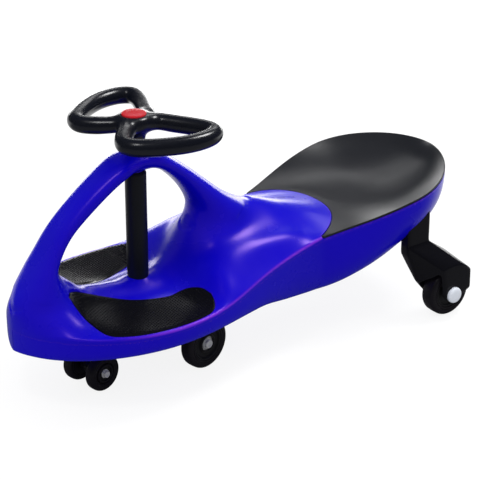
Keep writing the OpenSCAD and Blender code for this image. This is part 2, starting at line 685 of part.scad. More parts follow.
module bearing_seats(w, bearing_w, recess) {
    translate([0, -1]) square([bearing_d / 2 + fit_gap, inner_recess + bearing_w + 1]);
    translate([0, w - recess - bearing_w]) square([bearing_d / 2 + fit_gap, recess + bearing_w + 1]);
}
module bearing_pair(w, bearing_w, recess)
    for (z = [inner_recess, w - recess - bearing_w])
        tube(bearing_d, bolt_d + 2 * run_gap, z, z + bearing_w);
module bolt_head(seat) {
    pole(bolt_washer_d, seat + run_gap, seat + run_gap + bolt_washer_t);
    translate([0, 0, seat + bolt_washer_t]) cylinder(d = bolt_head_d, h = bolt_head_h, $fn = 6);
}
module at_drive(side) steered() on_side(side)
    on_axle(-drive_back, drive_r, drive_face_y - drive_w) children();
module at_front(side) steered() on_side(side)
    on_axle(front_ahead, front_z, front_face_y - front_w) children();
module at_rear(side) on_side(side) on_axle(rear_x, rear_r, rear_face_y - rear_w) children();

module drive_tyre(side) color(black) at_drive(side)
    rotate_extrude() tyre_profile(drive_r, drive_core_d / 2, drive_w);
module drive_hub(side) color(dark) at_drive(side) rotate_extrude() difference() {
    hub_profile(drive_core_d / 2, bolt_d / 2 + 2, drive_w);
    bearing_seats(drive_w, drive_bearing_w, drive_recess);
}
module drive_bearings(side) color(steel) at_drive(side) bearing_pair(drive_w, drive_bearing_w, drive_recess);
module drive_bolt(side) color(steel) at_drive(side) {
    pole(bolt_d, drive_w - drive_face_y + beam_end_y - bolt_grip, drive_w);
    bolt_head(drive_w - drive_recess);
}

module front_wheel(side) color(black) at_front(side) rotate_extrude() difference() {
    union() {
        tyre_profile(front_r, front_r - 2 * tyre_edge, front_w);
        hub_profile(front_r - 2 * tyre_edge, bolt_d / 2 + 2, front_w);
    }
    bearing_seats(front_w, front_bearing_w, front_recess);
}
module front_bearings(side) color(steel) at_front(side) bearing_pair(front_w, front_bearing_w, front_recess);
module front_axle() color(steel) {
    steered() on_axle(front_ahead, front_z) cylinder(d = bolt_d, h = 2 * front_face_y, center = true);
    for (side = SIDES) at_front(side) bolt_head(front_w - front_recess);
}

// Rear brackets: a stem in the body, and two plates with a hood over the wheel between them
hood_r = rear_r + hood_gap;
outer_r = hood_r + plate_t;
axle_boss_r = 14;
axle_head_d = 16;
axle_head_h = 3;
module inner_plate() {
    circle(r = axle_boss_r);
    polygon([[stem_ahead + 5, 20], [stem_ahead - 15, -4], [-axle_boss_r, -6], [-outer_r + 13, 8],
        [-outer_r + 13, 38], [-8, 62], [stem_ahead + 18, 62]]);
}
module outer_plate() {
    circle(r = axle_boss_r);
    intersection() {
        circle(r = outer_r);
        polygon([[0, -6], [outer_r, 44], [outer_r, outer_r], [-outer_r + 13, outer_r], [-outer_r + 13, 2],
            [-18, -6]]);
    }
}
module plate_at(y)
    translate([rear_x, y + plate_t, rear_r]) rotate([90, 0, 0]) linear_extrude(plate_t) children();
module rear_bracket(side) color(black) on_side(side) difference() {
    union() {
        hull() {
            plate_at(plate_in_y) inner_plate($fn = 32);
            plate_at(plate_out_y) outer_plate($fn = 32);
            stem_block(0, stem_low_z, hood_join_z);
        }
        stem_block(0, stem_low_z, stem_top_z);
    }
    on_axle(rear_x, rear_r) pole(2 * hood_r, plate_in_y + plate_t, plate_out_y);
    on_axle(rear_x, rear_r) pole(rear_axle_d + 2 * fit_gap, 0, 2 * plate_out_y);
    on_axle(rear_x, rear_r) pole(axle_head_d + 2, stem_y - 1, plate_in_y);
    at_pin() cylinder(d = pin_d + 2 * fit_gap, h = 2 * stem_len, center = true);
}
module rear_tyre(side) color(black) at_rear(side)
    rotate_extrude() tyre_profile(rear_r, rear_core_d / 2, rear_w);
module rear_hub(side) color(dark) at_rear(side)
    rotate_extrude() hub_profile(rear_core_d / 2, rear_axle_d / 2 + run_gap, rear_w);
cap_socket = axle_cap_h - 2;
module rear_axle(side) color(steel) on_side(side) on_axle(rear_x, rear_r) {
    pole(axle_head_d, plate_in_y - axle_head_h, plate_in_y);
    pole(rear_axle_d, plate_in_y - 1, plate_out_y + plate_t + cap_socket - run_gap);
}
module axle_cap(side) color(white) on_side(side) on_axle(rear_x, rear_r, plate_out_y + plate_t)
    rotate_extrude() difference() {
        hull() {
            square([axle_cap_d / 2, axle_cap_h / 2]);
            square([axle_cap_d / 2 - 2, axle_cap_h]);
        }
        translate([-1, -1]) square([rear_axle_d / 2 + fit_gap + 1, cap_socket + 1]);
    }

module bracket_pins() color(steel) both() at_pin()
    cylinder(d = pin_d, h = stem_len + 2 * wall + 2 * seat_gap, center = true);

module body_screws() color(steel) at_screws() {
    pole(screw_head_d, $screw_z - wall - screw_head_h, $screw_z - wall, $fn = 20);
    pole(screw_d, $screw_z - wall - 1, $screw_z - wall + screw_len, $fn = 16);
}

upper_shell();
lower_shell();
seat();
footrest("left");  // footrest_left
footrest("right");  // footrest_right
steering_wheel();
wheel_cap();
wheel_nut();
steering_shaft();
column_sleeve();
upper_bush();
floor_bush();
lower_bush();
thrust_washer();
front_yoke();
yoke_bolt();
drive_tyre("left");  // drive_tyre_left
drive_tyre("right");  // drive_tyre_right
drive_hub("left");  // drive_hub_left
drive_hub("right");  // drive_hub_right
drive_bearings("left");  // drive_bearings_left
drive_bearings("right");  // drive_bearings_right
drive_bolt("left");  // drive_bolt_left
drive_bolt("right");  // drive_bolt_right
front_wheel("left");  // front_wheel_left
front_wheel("right");  // front_wheel_right
front_bearings("left");  // front_bearings_left
front_bearings("right");  // front_bearings_right
front_axle();
rear_bracket("left");  // rear_bracket_left
rear_bracket("right");  // rear_bracket_right
rear_tyre("left");  // rear_tyre_left
rear_tyre("right");  // rear_tyre_right
rear_hub("left");  // rear_hub_left
rear_hub("right");  // rear_hub_right
rear_axle("left");  // rear_axle_left
rear_axle("right");  // rear_axle_right
axle_cap("left");  // axle_cap_left
axle_cap("right");  // axle_cap_right
bracket_pins();
body_screws();
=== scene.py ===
import math

import bmesh
import bpy
import numpy as np
from bpy.props import FloatProperty, FloatVectorProperty, PointerProperty
from mathutils import Matrix, Vector
from mathutils.bvhtree import BVHTree


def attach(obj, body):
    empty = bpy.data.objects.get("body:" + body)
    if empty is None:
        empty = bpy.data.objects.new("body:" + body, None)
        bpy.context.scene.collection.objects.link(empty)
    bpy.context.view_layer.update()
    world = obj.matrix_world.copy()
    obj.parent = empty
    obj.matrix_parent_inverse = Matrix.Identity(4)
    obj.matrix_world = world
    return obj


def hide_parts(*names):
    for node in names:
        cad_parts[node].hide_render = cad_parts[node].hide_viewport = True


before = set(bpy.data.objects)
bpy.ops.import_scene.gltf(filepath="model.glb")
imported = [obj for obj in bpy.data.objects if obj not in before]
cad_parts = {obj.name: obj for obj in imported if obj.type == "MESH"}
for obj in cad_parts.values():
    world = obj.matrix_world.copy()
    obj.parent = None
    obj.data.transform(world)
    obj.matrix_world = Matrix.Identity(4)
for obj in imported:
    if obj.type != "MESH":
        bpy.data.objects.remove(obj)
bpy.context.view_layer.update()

bl_info = {
    "name": "Wiggle car",
    "version": (1, 0, 0),
    "blender": (4, 5, 0),
    "location": "View3D > Sidebar > Wiggle car",
    "description": "Dresses a ride-on wiggle car around its solid frame",
    "category": "Add Mesh",
}

MM = 0.001
SIDES = (("left", 1), ("right", -1))
HERE = Matrix.Identity(4)

# Main places of the solid frame, in millimetres
NOSE_X, FRONT_WIDE_X, WAIST_X, TONGUE_TIP_X, SEAT_WIDE_X = 373.0, 180.0, -91.0, -155.0, -246.0
FRONT_HALF_W, WAIST_HALF_W, SEAT_HALF_W = 141.0, 97.0, 129.0
COLUMN_X, BORE_D = 167.0, 24.0
WALL, LIP_H, LIP_TUCK = 3.0, 9.0, 4.0
SEAT_T, PAD_HALF_T = 3.0, 1.5
# Room around a piece in its pocket, and under it
GAP, ROOM_UNDER = 0.4, 0.7
# Degrees that the yoke and the steering wheel stand to the left
YOKE_TURN, WHEEL_TURN = 10.5, 5.0
# The wheels' places, radii, outer faces, widths and the radii of their hubs
DRIVE_BACK, DRIVE_R, DRIVE_FACE_Y, DRIVE_W, DRIVE_HUB_R = 57.4, 38.9, 83.6, 20.0, 26.0
FRONT_AHEAD, FRONT_R, FRONT_FACE_Y, FRONT_W, FRONT_Z = 95.2, 27.3, 31.4, 16.0, 30.7
REAR_X, REAR_R, REAR_FACE_Y, REAR_W, REAR_HUB_R = -298.0, 37.5, 150.0, 24.0, 24.0
BEARING_BORE_R, BEARING_R, BEARING_SEAT_R = 4.3, 11.0, 11.2
BOLT_HEAD_H, WASHER_T, SHANK_D = 4.5, 1.5, 8.0
FRONT_TREAD_IN_R, FRONT_CORE_R = 18.5, 18.8
# The hubs' seats: radius and depth of the seat, and radius of the bore
DRIVE_SEAT, FRONT_SEAT, REAR_SEAT = (BEARING_SEAT_R, 10, 6), (BEARING_SEAT_R, 8, 6), (7.5, 22, 5.3)
# Both bearings of a wheel, each from its inner to its outer face
DRIVE_RACES, FRONT_RACES = ((10.2, 16), (1, 7)), ((8.2, 13), (1, 6))
# The bolts: width across the flats, place of the washer and its radius
DRIVE_BOLT, FRONT_BOLT = (12.4, 16.3, 8.5), (9.4, 13.3, 6.5)
DRIVE_SHANK_END, FRONT_SHANK_ENDS = -33.5, {"left": -15.5, "right": 0}
# The rear brackets: their plates, the stem's corners and height, and the hood over the wheel
PLATE_IN_Y, PLATE_OUT_Y, PLATE_T = 118.0, 153.0, 5.0
STEM, STEM_LOW, STEM_TOP = ((-280.0, 99.0), (-238.0, 119.0)), 103.5, 166.0
HOOD_R, AXLE_RING_R, AXLE_HEAD_D = 43.5, 14, 18
INNER_PLATE = [(44, 20), (24, -4), (-14, -6), (-35.5, 8), (-35.5, 38), (-8, 62), (57, 62)]
OUTER_PLATE = [(0, -6), (-18, -6), (-35.5, 2)]
# The steering wheel's rim
RIM_Z, RIM_D = 372.0, 25.0

# Round bars and bores, as diameter, low end and high end
COLUMN_BORE, KEEL_BORE, KEEL_BOSS = (BORE_D, 100, 400), (BORE_D, 60, 130), (39.7, 88, 108)
CAP_SEAT, WHEEL_BORE = (35.6, 386.2, 400), (16.4, 330, 400)
YOKE_BOSS, YOKE_BEAM, YOKE_NOSE = (46, 50, 82.3), (28, -62.1, 62.1), (22, -13.9, 13.9)
# The yoke's spines, as places and radii seen from the side, and half their thickness
SPINE_ROOT, SPINE_HALF_T = (0, 65, 13), 12
SPINE_ENDS = ((-DRIVE_BACK, DRIVE_R, 11.5), (FRONT_AHEAD, FRONT_Z, 8.5))

# Turned profiles, as radius and height
COLUMN_BOSS = ((0, 300), (13, 300), (16, 306), (19.85, 318), (19.85, 340), (0, 340))
FLOOR_BOSS = ((0, 120), (30, 120), (25, 132), (19, 141), (16.8, 147), (0, 147))
SLEEVE = ((12.4, 140), (14.6, 140), (15.35, 142), (15.35, 301), (13.6, 304), (12.4, 304))
WHEEL_HUB = ((0, 343.4), (16, 343.4), (16, 366), (25, 370), (27, 378), (25, 385), (21, 389.2), (0, 389.2))
WHEEL_CAP = ((0, 386.5), (17.4, 386.5), (17.4, 389.4), (15.5, 390.1), (8, 390.8), (0, 391))
AXLE_CAP = ((0, 5), (5.2, 5), (5.2, 0), (12.5, 0), (12.5, 3.6), (11.6, 5.6), (9, 6.6), (5, 7), (0, 7))

# The camera of the photograph, and the way that the backdrop lies from the car
CAMERA_PLACE, CAMERA_TILT, CAMERA_HEADING = (1.42758, 2.00759, 1.31818), 64.6383, 144.3548
BACKDROP = (-0.55, -0.77, -0.33)


# Lines along the body


def hermite(points, x):
    """A smooth line through (place, value) points, level at both ends."""
    place, value = np.array(points, float).T
    slope = np.zeros(len(place))
    slope[1:-1] = (value[2:] - value[:-2]) / (place[2:] - place[:-2])
    x = np.asarray(x, float)
    i = np.clip(np.searchsorted(place, x, side="right") - 1, 0, len(place) - 2)
    h = place[i + 1] - place[i]
    t = np.clip((x - place[i]) / h, 0, 1)
    return (
        (2 * t**3 - 3 * t * t + 1) * value[i]
        + (t**3 - 2 * t * t + t) * h * slope[i]
        + (3 * t * t - 2 * t**3) * value[i + 1]
        + (t**3 - t * t) * h * slope[i + 1]
    )


def blurred(values, reach):
    """Values along a line, with each one averaged over its neighbours."""
    span = np.arange(-3 * reach, 3 * reach + 1)
    kernel = np.exp(-0.5 * (span / reach) ** 2)
    kernel /= kernel.sum()
    padded = np.concatenate([np.full(3 * reach, values[0]), values, np.full(3 * reach, values[-1])])
    return np.convolve(padded, kernel, "valid")


BODY_X = np.arange(-NOSE_X, NOSE_X + 1)


def body_line(*points, reach=7):
    """A softened line along the body that can be read at any place."""
    values = blurred(hermite(points, BODY_X), reach)
    return lambda x: np.interp(x, BODY_X, values)


edge_line = body_line(
    (-373, 220), (-321, 214), (-246, 201), (-91, 167), (21, 147), (103, 128), (180, 123), (373, 123)
)
keel_line = body_line(
    (-373, 194), (-355, 156), (-335, 131), (-305, 116), (-235, 94), (-165, 76), (-125, 69), (-85, 68),
    (-35, 74), (27, 87), (207, 88), (343, 84), (373, 85), reach=6,
)
deck_line = body_line(
    (-373, 219), (-345, 201), (-265, 175), (-195, 172), (-91, 170), (-35, 178), (60, 178), (95, 160),
    (127, 133), (167, 126), (207, 127), (271, 139), (303, 142), (373, 142),
)
crest_line = body_line(
    (-215, 0), (-155, 5), (-91, 21), (-21, 37), (25, 55), (55, 62), (80, 48), (102, 20), (127, 15), (167, 17),
    (235, 14), (271, 15), (295, 26), (316, 44), (335, 46), (355, 32), (373, 18), reach=5,
)
side_power = body_line((-131, 2.4), (-51, 5), (77, 5), (127, 1.5), (313, 1.6), (373, 3))
crest_half_w = body_line(
    (-215, 60), (-21, 44), (67, 36), (127, 30), (207, 27), (280, 31), (303, 46), (323, 48), (373, 46), reach=5
)
keel_width_power = body_line((-373, 2.2), (-246, 2.4), (-165, 4), (-105, 6), (-35, 8), (47, 13))
keel_depth_power = body_line((-373, 2.2), (-246, 2.4), (-165, 3.6), (-105, 4.6), (47, 5))
deck_depth = body_line((-91, 6.7), (-51, 3), (63, 3), (97, 5.2), (303, 5.2), (343, 3), reach=2)

# The fold along the shoulder, where the deck turns down to a flat flank
FOLD_Y, FOLD_SHARPNESS = 78.0, 5.5
fold_share = body_line((-80, 0), (-48, 1), (70, 1), (100, 0))

# How strongly the deck's edge beside the footrests and the waist is painted with a lighter highlight line, and
# the width of that line
edge_highlight_share = body_line((-110, 0), (-80, 0.5), (60, 0.3), (150, 0.5), (210, 0.35), (290, 0))
EDGE_HIGHLIGHT_W = 1.6

# The left footrest's inner and outer edge along the body
PAD_INNER = (
    (111, 101), (113, 84), (121, 66), (132, 58), (151, 57), (174, 49), (208, 36), (241, 23), (275, 14),
    (291, 20), (300, 31),
)
PAD_OUTER = (
    (111, 103), (113, 112), (121, 125), (137, 133), (182, 136), (235, 129), (271, 114), (285, 99), (291, 72),
    (296, 43), (300, 33),
)
PAD_REAR_X, PAD_FRONT_X = 111.0, 300.0

# The arch over the column: outer x and z, inner x and z, and half width, from nose to deck
ARCH = (
    (368, 158, 289, 152, 47), (347, 187, 304, 183, 37), (327, 214, 307, 200, 30), (304, 248, 286, 236, 26),
    (272, 279, 254, 261, 25), (232, 309, 217, 288, 26), (197, 329, 189, 305, 29), (167, 338, 167, 311, 31),
    (135, 330, 142, 306, 31), (102, 307, 117, 288, 29), (71, 281, 93, 262, 28), (43, 256, 78, 236, 30),
    (15, 234, 72, 208, 36), (-15, 216, 79, 180, 46),
)
ARCH_POWER = 2.4

# The root of the front leg, which runs out along the ridge of the floor
LEG_ROOT = ((310, 14, 192), (304, 16, 180), (290, 12, 170), (262, 6, 154), (258, 7, 140), (310, 20, 140))

# The steering wheel's left loop: forward and outward, from the front of the hub round to its back
GRIP = (
    (16, 7), (52, 42), (53, 63), (38, 78), (12, 94), (-18, 105), (-48, 105), (-66, 94), (-66, 76), (-50, 43),
    (-29, 9),
)

# How full the seat's plan and the two ends of the body are, and how near the crest runs to the edge
SEAT_SWELL, END_FULLNESS, CREST_RUN = 1.3, 0.62, 6


def half_w(x):
    """Half width of the body: round nose, waist, wide seat and drawn-in tail."""
    x = np.asarray(x, float)
    nose = np.clip((x - FRONT_WIDE_X) / (NOSE_X - FRONT_WIDE_X), 0, 1)
    tail = np.clip((SEAT_WIDE_X - x) / (SEAT_WIDE_X + NOSE_X), 0, 1)
    ahead = np.clip((x - WAIST_X) / (FRONT_WIDE_X - WAIST_X), 0, 1)
    behind = np.clip((WAIST_X - x) / (WAIST_X - SEAT_WIDE_X), 0, 1)
    front = WAIST_HALF_W + (FRONT_HALF_W - WAIST_HALF_W) * (1 - np.cos(np.pi * ahead)) / 2
    seat = WAIST_HALF_W + (SEAT_HALF_W - WAIST_HALF_W) * np.sin(np.pi / 2 * behind) ** SEAT_SWELL
    ends = ((1 - nose**2) * (1 - tail**2)) ** END_FULLNESS
    return np.where(x >= WAIST_X, front, seat) * ends


def deck_z(x, y):
    """Height of the deck over a place of the body."""
    edge, width = edge_line(x), np.maximum(1, half_w(x))
    s = np.minimum(1, np.abs(y) / width)
    flank = (1 - s) * width / np.maximum(10, width - FOLD_Y)
    folded = -np.log(np.exp(-FOLD_SHARPNESS) + np.exp(-FOLD_SHARPNESS * flank)) / FOLD_SHARPNESS
    share = fold_share(x)
    level = edge + (deck_line(x) - edge) * ((1 - share) * (1 - s ** side_power(x)) + share * folded)
    return level + crest_line(x) * np.exp(-((y / crest_half_w(x)) ** 2)) * (1 - s**CREST_RUN)


def stations(count, reach=0.994):
    """Places from tail to nose, closer together where the plan turns in."""
    return NOSE_X * np.sin(np.pi / 2 * np.linspace(-reach, reach, count))


def curve_through(points, per_span, reach):
    """Points along a smooth line through a few given ones."""
    points = np.array(points, float)
    spot = np.linspace(0, len(points) - 1, (len(points) - 1) * per_span + 1)
    given = np.arange(len(points))
    return np.stack([blurred(hermite(np.stack([given, column], -1), spot), reach) for column in points.T], -1)


def bend(start, corner, end, t):
    """A place on the curve that rounds a corner."""
    return (1 - t) ** 2 * start + 2 * t * (1 - t) * corner + t * t * end


def rounded(points, radius, closed=False):
    """A profile with its corners rounded. The radius is limited by the length of the sides."""
    points = [np.array(p, float) for p in points]
    result = []
    for k, corner in enumerate(points):
        if not closed and k in (0, len(points) - 1):
            result.append(corner)
            continue
        before, after = points[k - 1] - corner, points[(k + 1) % len(points)] - corner
        reach = min(radius, 0.45 * np.linalg.norm(before), 0.45 * np.linalg.norm(after))
        start = corner + before / np.linalg.norm(before) * reach
        end = corner + after / np.linalg.norm(after) * reach
        result += [bend(start, corner, end, t) for t in (0, 0.25, 0.5, 0.75, 1)]
    return np.array(result)


def turns(count):
    """Even angles once round."""
    return np.linspace(0, 2 * np.pi, count, endpoint=False)


def circle(x, z, r):
    """Points round a place, seen from the side."""
    return [(x + r * math.cos(a), z + r * math.sin(a)) for a in turns(32)]


# Meshes


def grid_faces(rows, cols, start=0, loop_rows=False, loop_cols=False):
    """Four-sided faces over a grid of points, which may close on itself either way."""
    i, j = np.meshgrid(
        np.arange(rows if loop_rows else rows - 1), np.arange(cols if loop_cols else cols - 1), indexing="ij"
    )
    i2, j2 = (i + 1) % rows, (j + 1) % cols
    quads = np.stack([i * cols + j, i2 * cols + j, i2 * cols + j2, i * cols + j2], -1).reshape(-1, 4)
    return (quads + start).tolist()


def linked(name, form):
    """An object in the scene from a finished form."""
    mesh = bpy.data.meshes.new(name)
    form.to_mesh(mesh)
    form.free()
    obj = bpy.data.objects.new(name, mesh)
    bpy.context.scene.collection.objects.link(obj)
    return obj


def piece(name, points, faces):
    """A mesh object from points in millimetres, with its faces turned outwards."""
    mesh = bpy.data.meshes.new(name)
    mesh.from_pydata((np.asarray(points, float).reshape(-1, 3) * MM).tolist(), [], faces)
    form = bmesh.new()
    form.from_mesh(mesh)
    bpy.data.meshes.remove(mesh)
    bmesh.ops.remove_doubles(form, verts=form.verts, dist=1e-6)
    bmesh.ops.recalc_face_normals(form, faces=form.faces)
    return linked(name, form)


def chain(name, rings):
    """A closed form through rings of points, with a flat face at each end."""
    rings = np.asarray(rings, float)
    rows, cols = rings.shape[:2]
    faces = grid_faces(rows, cols, loop_cols=True)
    faces += [list(range(cols))[::-1], list(range((rows - 1) * cols, rows * cols))]
    return piece(name, rings, faces)


def slab(name, top, bottom):
    """A closed slab between two grids of points."""
    top, bottom = np.asarray(top, float), np.asarray(bottom, float)
    rows, cols = top.shape[:2]
    count = rows * cols
    faces = grid_faces(rows, cols) + grid_faces(rows, cols, start=count)
    spot = np.arange(count).reshape(rows, cols)
    rim = np.concatenate([spot[0], spot[1:, -1], spot[-1, -2::-1], spot[-2:0:-1, 0]]).tolist()
    faces += [(a, b, b + count, a + count) for a, b in zip(rim, rim[1:] + rim[:1])]
    return piece(name, np.concatenate([top.reshape(-1, 3), bottom.reshape(-1, 3)]), faces)


def turned(name, profile, place=HERE, segments=96):
    """A turned piece: (radius, height) points round its own axis, as a ring or down to the axis."""
    profile = np.asarray(profile, float)
    angle = turns(segments)
    ring = np.stack([np.cos(angle), np.sin(angle), np.zeros(segments)], -1)
    points = profile[:, None, :1] * ring[None] + np.array([0, 0, 1]) * profile[:, None, 1:]
    on_axis = profile[0, 0] < 1e-6 and profile[-1, 0] < 1e-6
    faces = grid_faces(len(profile), segments, loop_rows=not on_axis, loop_cols=True)
    return placed(piece(name, points, faces), place)


def pole(name, diameter, low, high, place=HERE, segments=64):
    """A round bar along its own axis."""
    return turned(name, [(0, low), (diameter / 2, low), (diameter / 2, high), (0, high)], place, segments)


def block(name, low, high):
    """A box between two corners."""
    x, y, z = zip(low, high)
    points = [(a, b, c) for a in x for b in y for c in z]
    faces = [(0, 1, 3, 2), (4, 6, 7, 5), (0, 4, 5, 1), (2, 3, 7, 6), (0, 2, 6, 4), (1, 5, 7, 3)]
    return piece(name, points, faces)


def wrapped(name, points):
    """The tight skin around points."""
    form = bmesh.new()
    for point in points:
        form.verts.new(Vector(point) * MM)
    hull = bmesh.ops.convex_hull(form, input=form.verts)
    spare = {v for v in hull["geom_interior"] + hull["geom_unused"] if isinstance(v, bmesh.types.BMVert)}
    bmesh.ops.delete(form, geom=list(spare), context="VERTS")
    return linked(name, form)


def placed(obj, place):
    """Moves a mesh to its place, which is given in millimetres."""
    metres = place.copy()
    metres.translation = place.translation * MM
    obj.data.transform(metres)
    if metres.determinant() < 0:
        obj.data.flip_normals()
    obj.data.update()
    return obj


def on_column(turn=0.0):
    """A place on the steering column, turned to the left by degrees."""
    return Matrix.Translation((COLUMN_X, 0, 0)) @ Matrix.Rotation(math.radians(turn), 4, "Z")


def on_axle(x, y, z, side=1):
    """A place on an axle, with its own axis pointing outwards."""
    return Matrix.Translation((x, side * y, z)) @ Matrix.Rotation(-side * math.pi / 2, 4, "X")


def joined(name, *objs):
    """Several mesh objects as one."""
    form = bmesh.new()
    for obj in objs:
        form.from_mesh(obj.data)
        bpy.data.objects.remove(obj)
    return linked(name, form)


def settle(obj):
    """Puts the result of the modifiers into the mesh."""
    shown = obj.evaluated_get(bpy.context.evaluated_depsgraph_get())
    mesh = bpy.data.meshes.new_from_object(shown)
    obj.modifiers.clear()
    old = obj.data
    obj.data = mesh
    mesh.name = obj.name
    bpy.data.meshes.remove(old)
    return obj


def modify(obj, kind, **values):
    """Gives a mesh a modifier with its settings."""
    modifier = obj.modifiers.new(kind.lower(), kind)
    for key, value in values.items():
        setattr(modifier, key, value)


def fused(name, forms, step):
    """One skin around overlapping forms, with its points a step in millimetres apart."""
    obj = joined(name, *forms)
    modify(obj, "REMESH", mode="VOXEL", voxel_size=step * MM)
    return settle(obj)


def cut(obj, *cutters):
    """Takes the cutters' forms out of a piece, and leaves no face without area along the rims."""
    for cutter in cutters:
        modify(obj, "BOOLEAN", operation="DIFFERENCE", solver="MANIFOLD", object=cutter)
    settle(obj)
    for cutter in cutters:
        bpy.data.objects.remove(cutter)
    if not obj.data.polygons:
        raise RuntimeError(f"nothing is left of {obj.name} after its cuts")
    form = bmesh.new()
    form.from_mesh(obj.data)
    many_sided = [face for face in form.faces if len(face.verts) > 4]
    bmesh.ops.triangulate(form, faces=many_sided, ngon_method="BEAUTY")
    bmesh.ops.dissolve_degenerate(form, dist=5e-6, edges=form.edges)
    form.to_mesh(obj.data)
    form.free()
    return obj


def coords(obj):
    """The places of a mesh's points, in metres."""
    co = np.empty(len(obj.data.vertices) * 3)
    obj.data.vertices.foreach_get("co", co)
    return co.reshape(-1, 3)


def set_coords(obj, co):
    """Moves a mesh's points."""
    obj.data.vertices.foreach_set("co", np.ascontiguousarray(co, float).ravel())
    obj.data.update()


def relax(obj, rounds, weight=1.0, shrink=False):
    """Evens out a mesh. Without shrink, every second step pushes back out, so sizes stay."""
    edges = np.empty(len(obj.data.edges) * 2, int)
    obj.data.edges.foreach_get("vertices", edges)
    a, b = edges.reshape(-1, 2).T
    co = coords(obj)
    count = np.maximum(1, np.bincount(a, minlength=len(co)) + np.bincount(b, minlength=len(co)))
    weight = np.broadcast_to(np.asarray(weight, float), len(co))[:, None]
    for turn in range(rounds):
        step = 0.5 if shrink or turn % 2 == 0 else -0.52
        near = [np.bincount(a, co[b, k], len(co)) + np.bincount(b, co[a, k], len(co)) for k in range(3)]
        co = co + step * weight * (np.stack(near, -1) / count[:, None] - co)
    set_coords(obj, co)


def smooth(obj, angle=35):
    """Smooth shading, with sharp edges where faces meet at more than an angle."""
    obj.data.polygons.foreach_set("use_smooth", np.ones(len(obj.data.polygons), bool))
    obj.data.set_sharp_from_angle(angle=math.radians(angle))
    return obj


def dressed(obj, look, slot, body, *nodes):
    """Gives a finished piece its material, its body and the solids that it stands for."""
    obj.data.materials.clear()
    obj.data.materials.append(finish(look))
    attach(obj, body)
    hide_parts(*nodes)
    return obj


def refinish(look, *nodes):
    """A better material for solids that stay in view."""
    for node in nodes:
        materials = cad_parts[node].data.materials
        materials.clear()
        materials.append(finish(look))


# Materials

# The name under which a mesh keeps how much of the painted highlight line each of its points has
PAINTED_HIGHLIGHT_ATTRIBUTE = "rubbed"
# The sockets of a node that mixes colours
MIX_A, MIX_B, MIX_RESULT = 6, 7, 2

# What a finish has unless it says otherwise. Grain and scuffs say how fine they are, depth is in metres,
# and the rest are shares
USUAL = dict(
    grain=900.0, depth=2e-5, wear_and_highlight=0.3, clouding=0.1, scuffs=0.0, metallic=0.0, level=0.5, tint=(1.0, 1.0, 1.0)
)
# The blue's lighter edge colour is a pale lavender, which paints a highlight on its edges and along the marked
# line
BODY = dict(
    color="body", rubbed=(0.4, 0.06, 0.8), rough=(0.22, 0.3), clouding=0.06, depth=8e-6, level=0.28,
    tint=(0.8, 0.35, 1.0),
)
FINISHES = {
    "Blue body plastic": dict(BODY, wear_and_highlight=0.4),
    "Blue belly plastic": dict(BODY, wear_and_highlight=0.05),
    "Satin seat plastic": dict(
        color="seat", rubbed=(0.12, 0.12, 0.14), rough=(0.28, 0.36), grain=1500.0, depth=3e-5, wear_and_highlight=0.08,
        scuffs=7.0, level=0.34,
    ),
    "Gloss grip plastic": dict(
        color="grips", rubbed=(0.15, 0.16, 0.18), rough=(0.2, 0.3), depth=1e-5, wear_and_highlight=0.15, scuffs=15.0
    ),
    "Footrest rubber": dict(
        color="pads", rubbed=(0.06, 0.06, 0.07), rough=(0.22, 0.3), grain=2200.0, wear_and_highlight=0.05, level=0.05
    ),
    "Column sleeve plastic": dict(
        color="sleeve", rubbed=(0.08, 0.08, 0.09), rough=(0.34, 0.44), depth=3e-5, wear_and_highlight=0.1, level=0.25
    ),
    "Red cap plastic": dict(
        color="cap", rubbed=(0.8, 0.35, 0.3), rough=(0.2, 0.28), depth=8e-6, wear_and_highlight=0.1, level=0.12,
        tint=(1.0, 0.2, 1.0),
    ),
    "White axle cap plastic": dict(
        color="axle_caps", rubbed=(0.9, 0.9, 0.92), rough=(0.25, 0.35), wear_and_highlight=0.2, clouding=0.05
    ),
    "Wheel rubber": dict(
        color="tyres", rubbed=(0.07, 0.068, 0.07), rough=(0.28, 0.38), grain=1400.0, depth=3e-5, wear_and_highlight=0.15,
        scuffs=22.0, level=0.2,
    ),
    "Hub plastic": dict(color="hubs", rubbed=(0.08, 0.08, 0.085), rough=(0.3, 0.4), wear_and_highlight=0.15, level=0.2),
    "Bracket plastic": dict(
        color="brackets", rubbed=(0.08, 0.08, 0.09), rough=(0.14, 0.2), depth=1e-5, wear_and_highlight=0.1, level=0.2
    ),
    "Zinc plated steel": dict(
        color="steel", rubbed=(0.75, 0.76, 0.78), rough=(0.3, 0.44), grain=500.0, wear_and_highlight=0.4, clouding=0.15,
        metallic=0.55,
    ),
}


def fill(node, sockets):
    """Gives a node's sockets a value each, or links them to what other nodes put out."""
    for key, value in sockets.items():
        if isinstance(value, bpy.types.NodeSocket):
            node.id_data.links.new(value, node.inputs[key])
        else:
            node.inputs[key].default_value = value


def add_node(tree, kind, sockets=None, **settings):
    """What a new node with its settings and filled sockets puts out."""
    node = tree.nodes.new(kind)
    for key, value in settings.items():
        setattr(node, key, value)
    fill(node, sockets or {})
    return node.outputs


def maths(tree, operation, first, second, **settings):
    """A number worked out from two others."""
    return add_node(tree, "ShaderNodeMath", {0: first, 1: second}, operation=operation, **settings)["Value"]


def ranged(tree, value, low, high, to_low=0.0, to_high=1.0, **settings):
    """A number stretched from one range to another."""
    sockets = {"Value": value, "From Min": low, "From Max": high, "To Min": to_low, "To Max": to_high}
    return add_node(tree, "ShaderNodeMapRange", sockets, **settings)["Result"]


def blend(tree, share, low, high):
    """A number that goes from one value to another with a share from 0 to 1."""
    return ranged(tree, share, 0.0, 1.0, low, high)


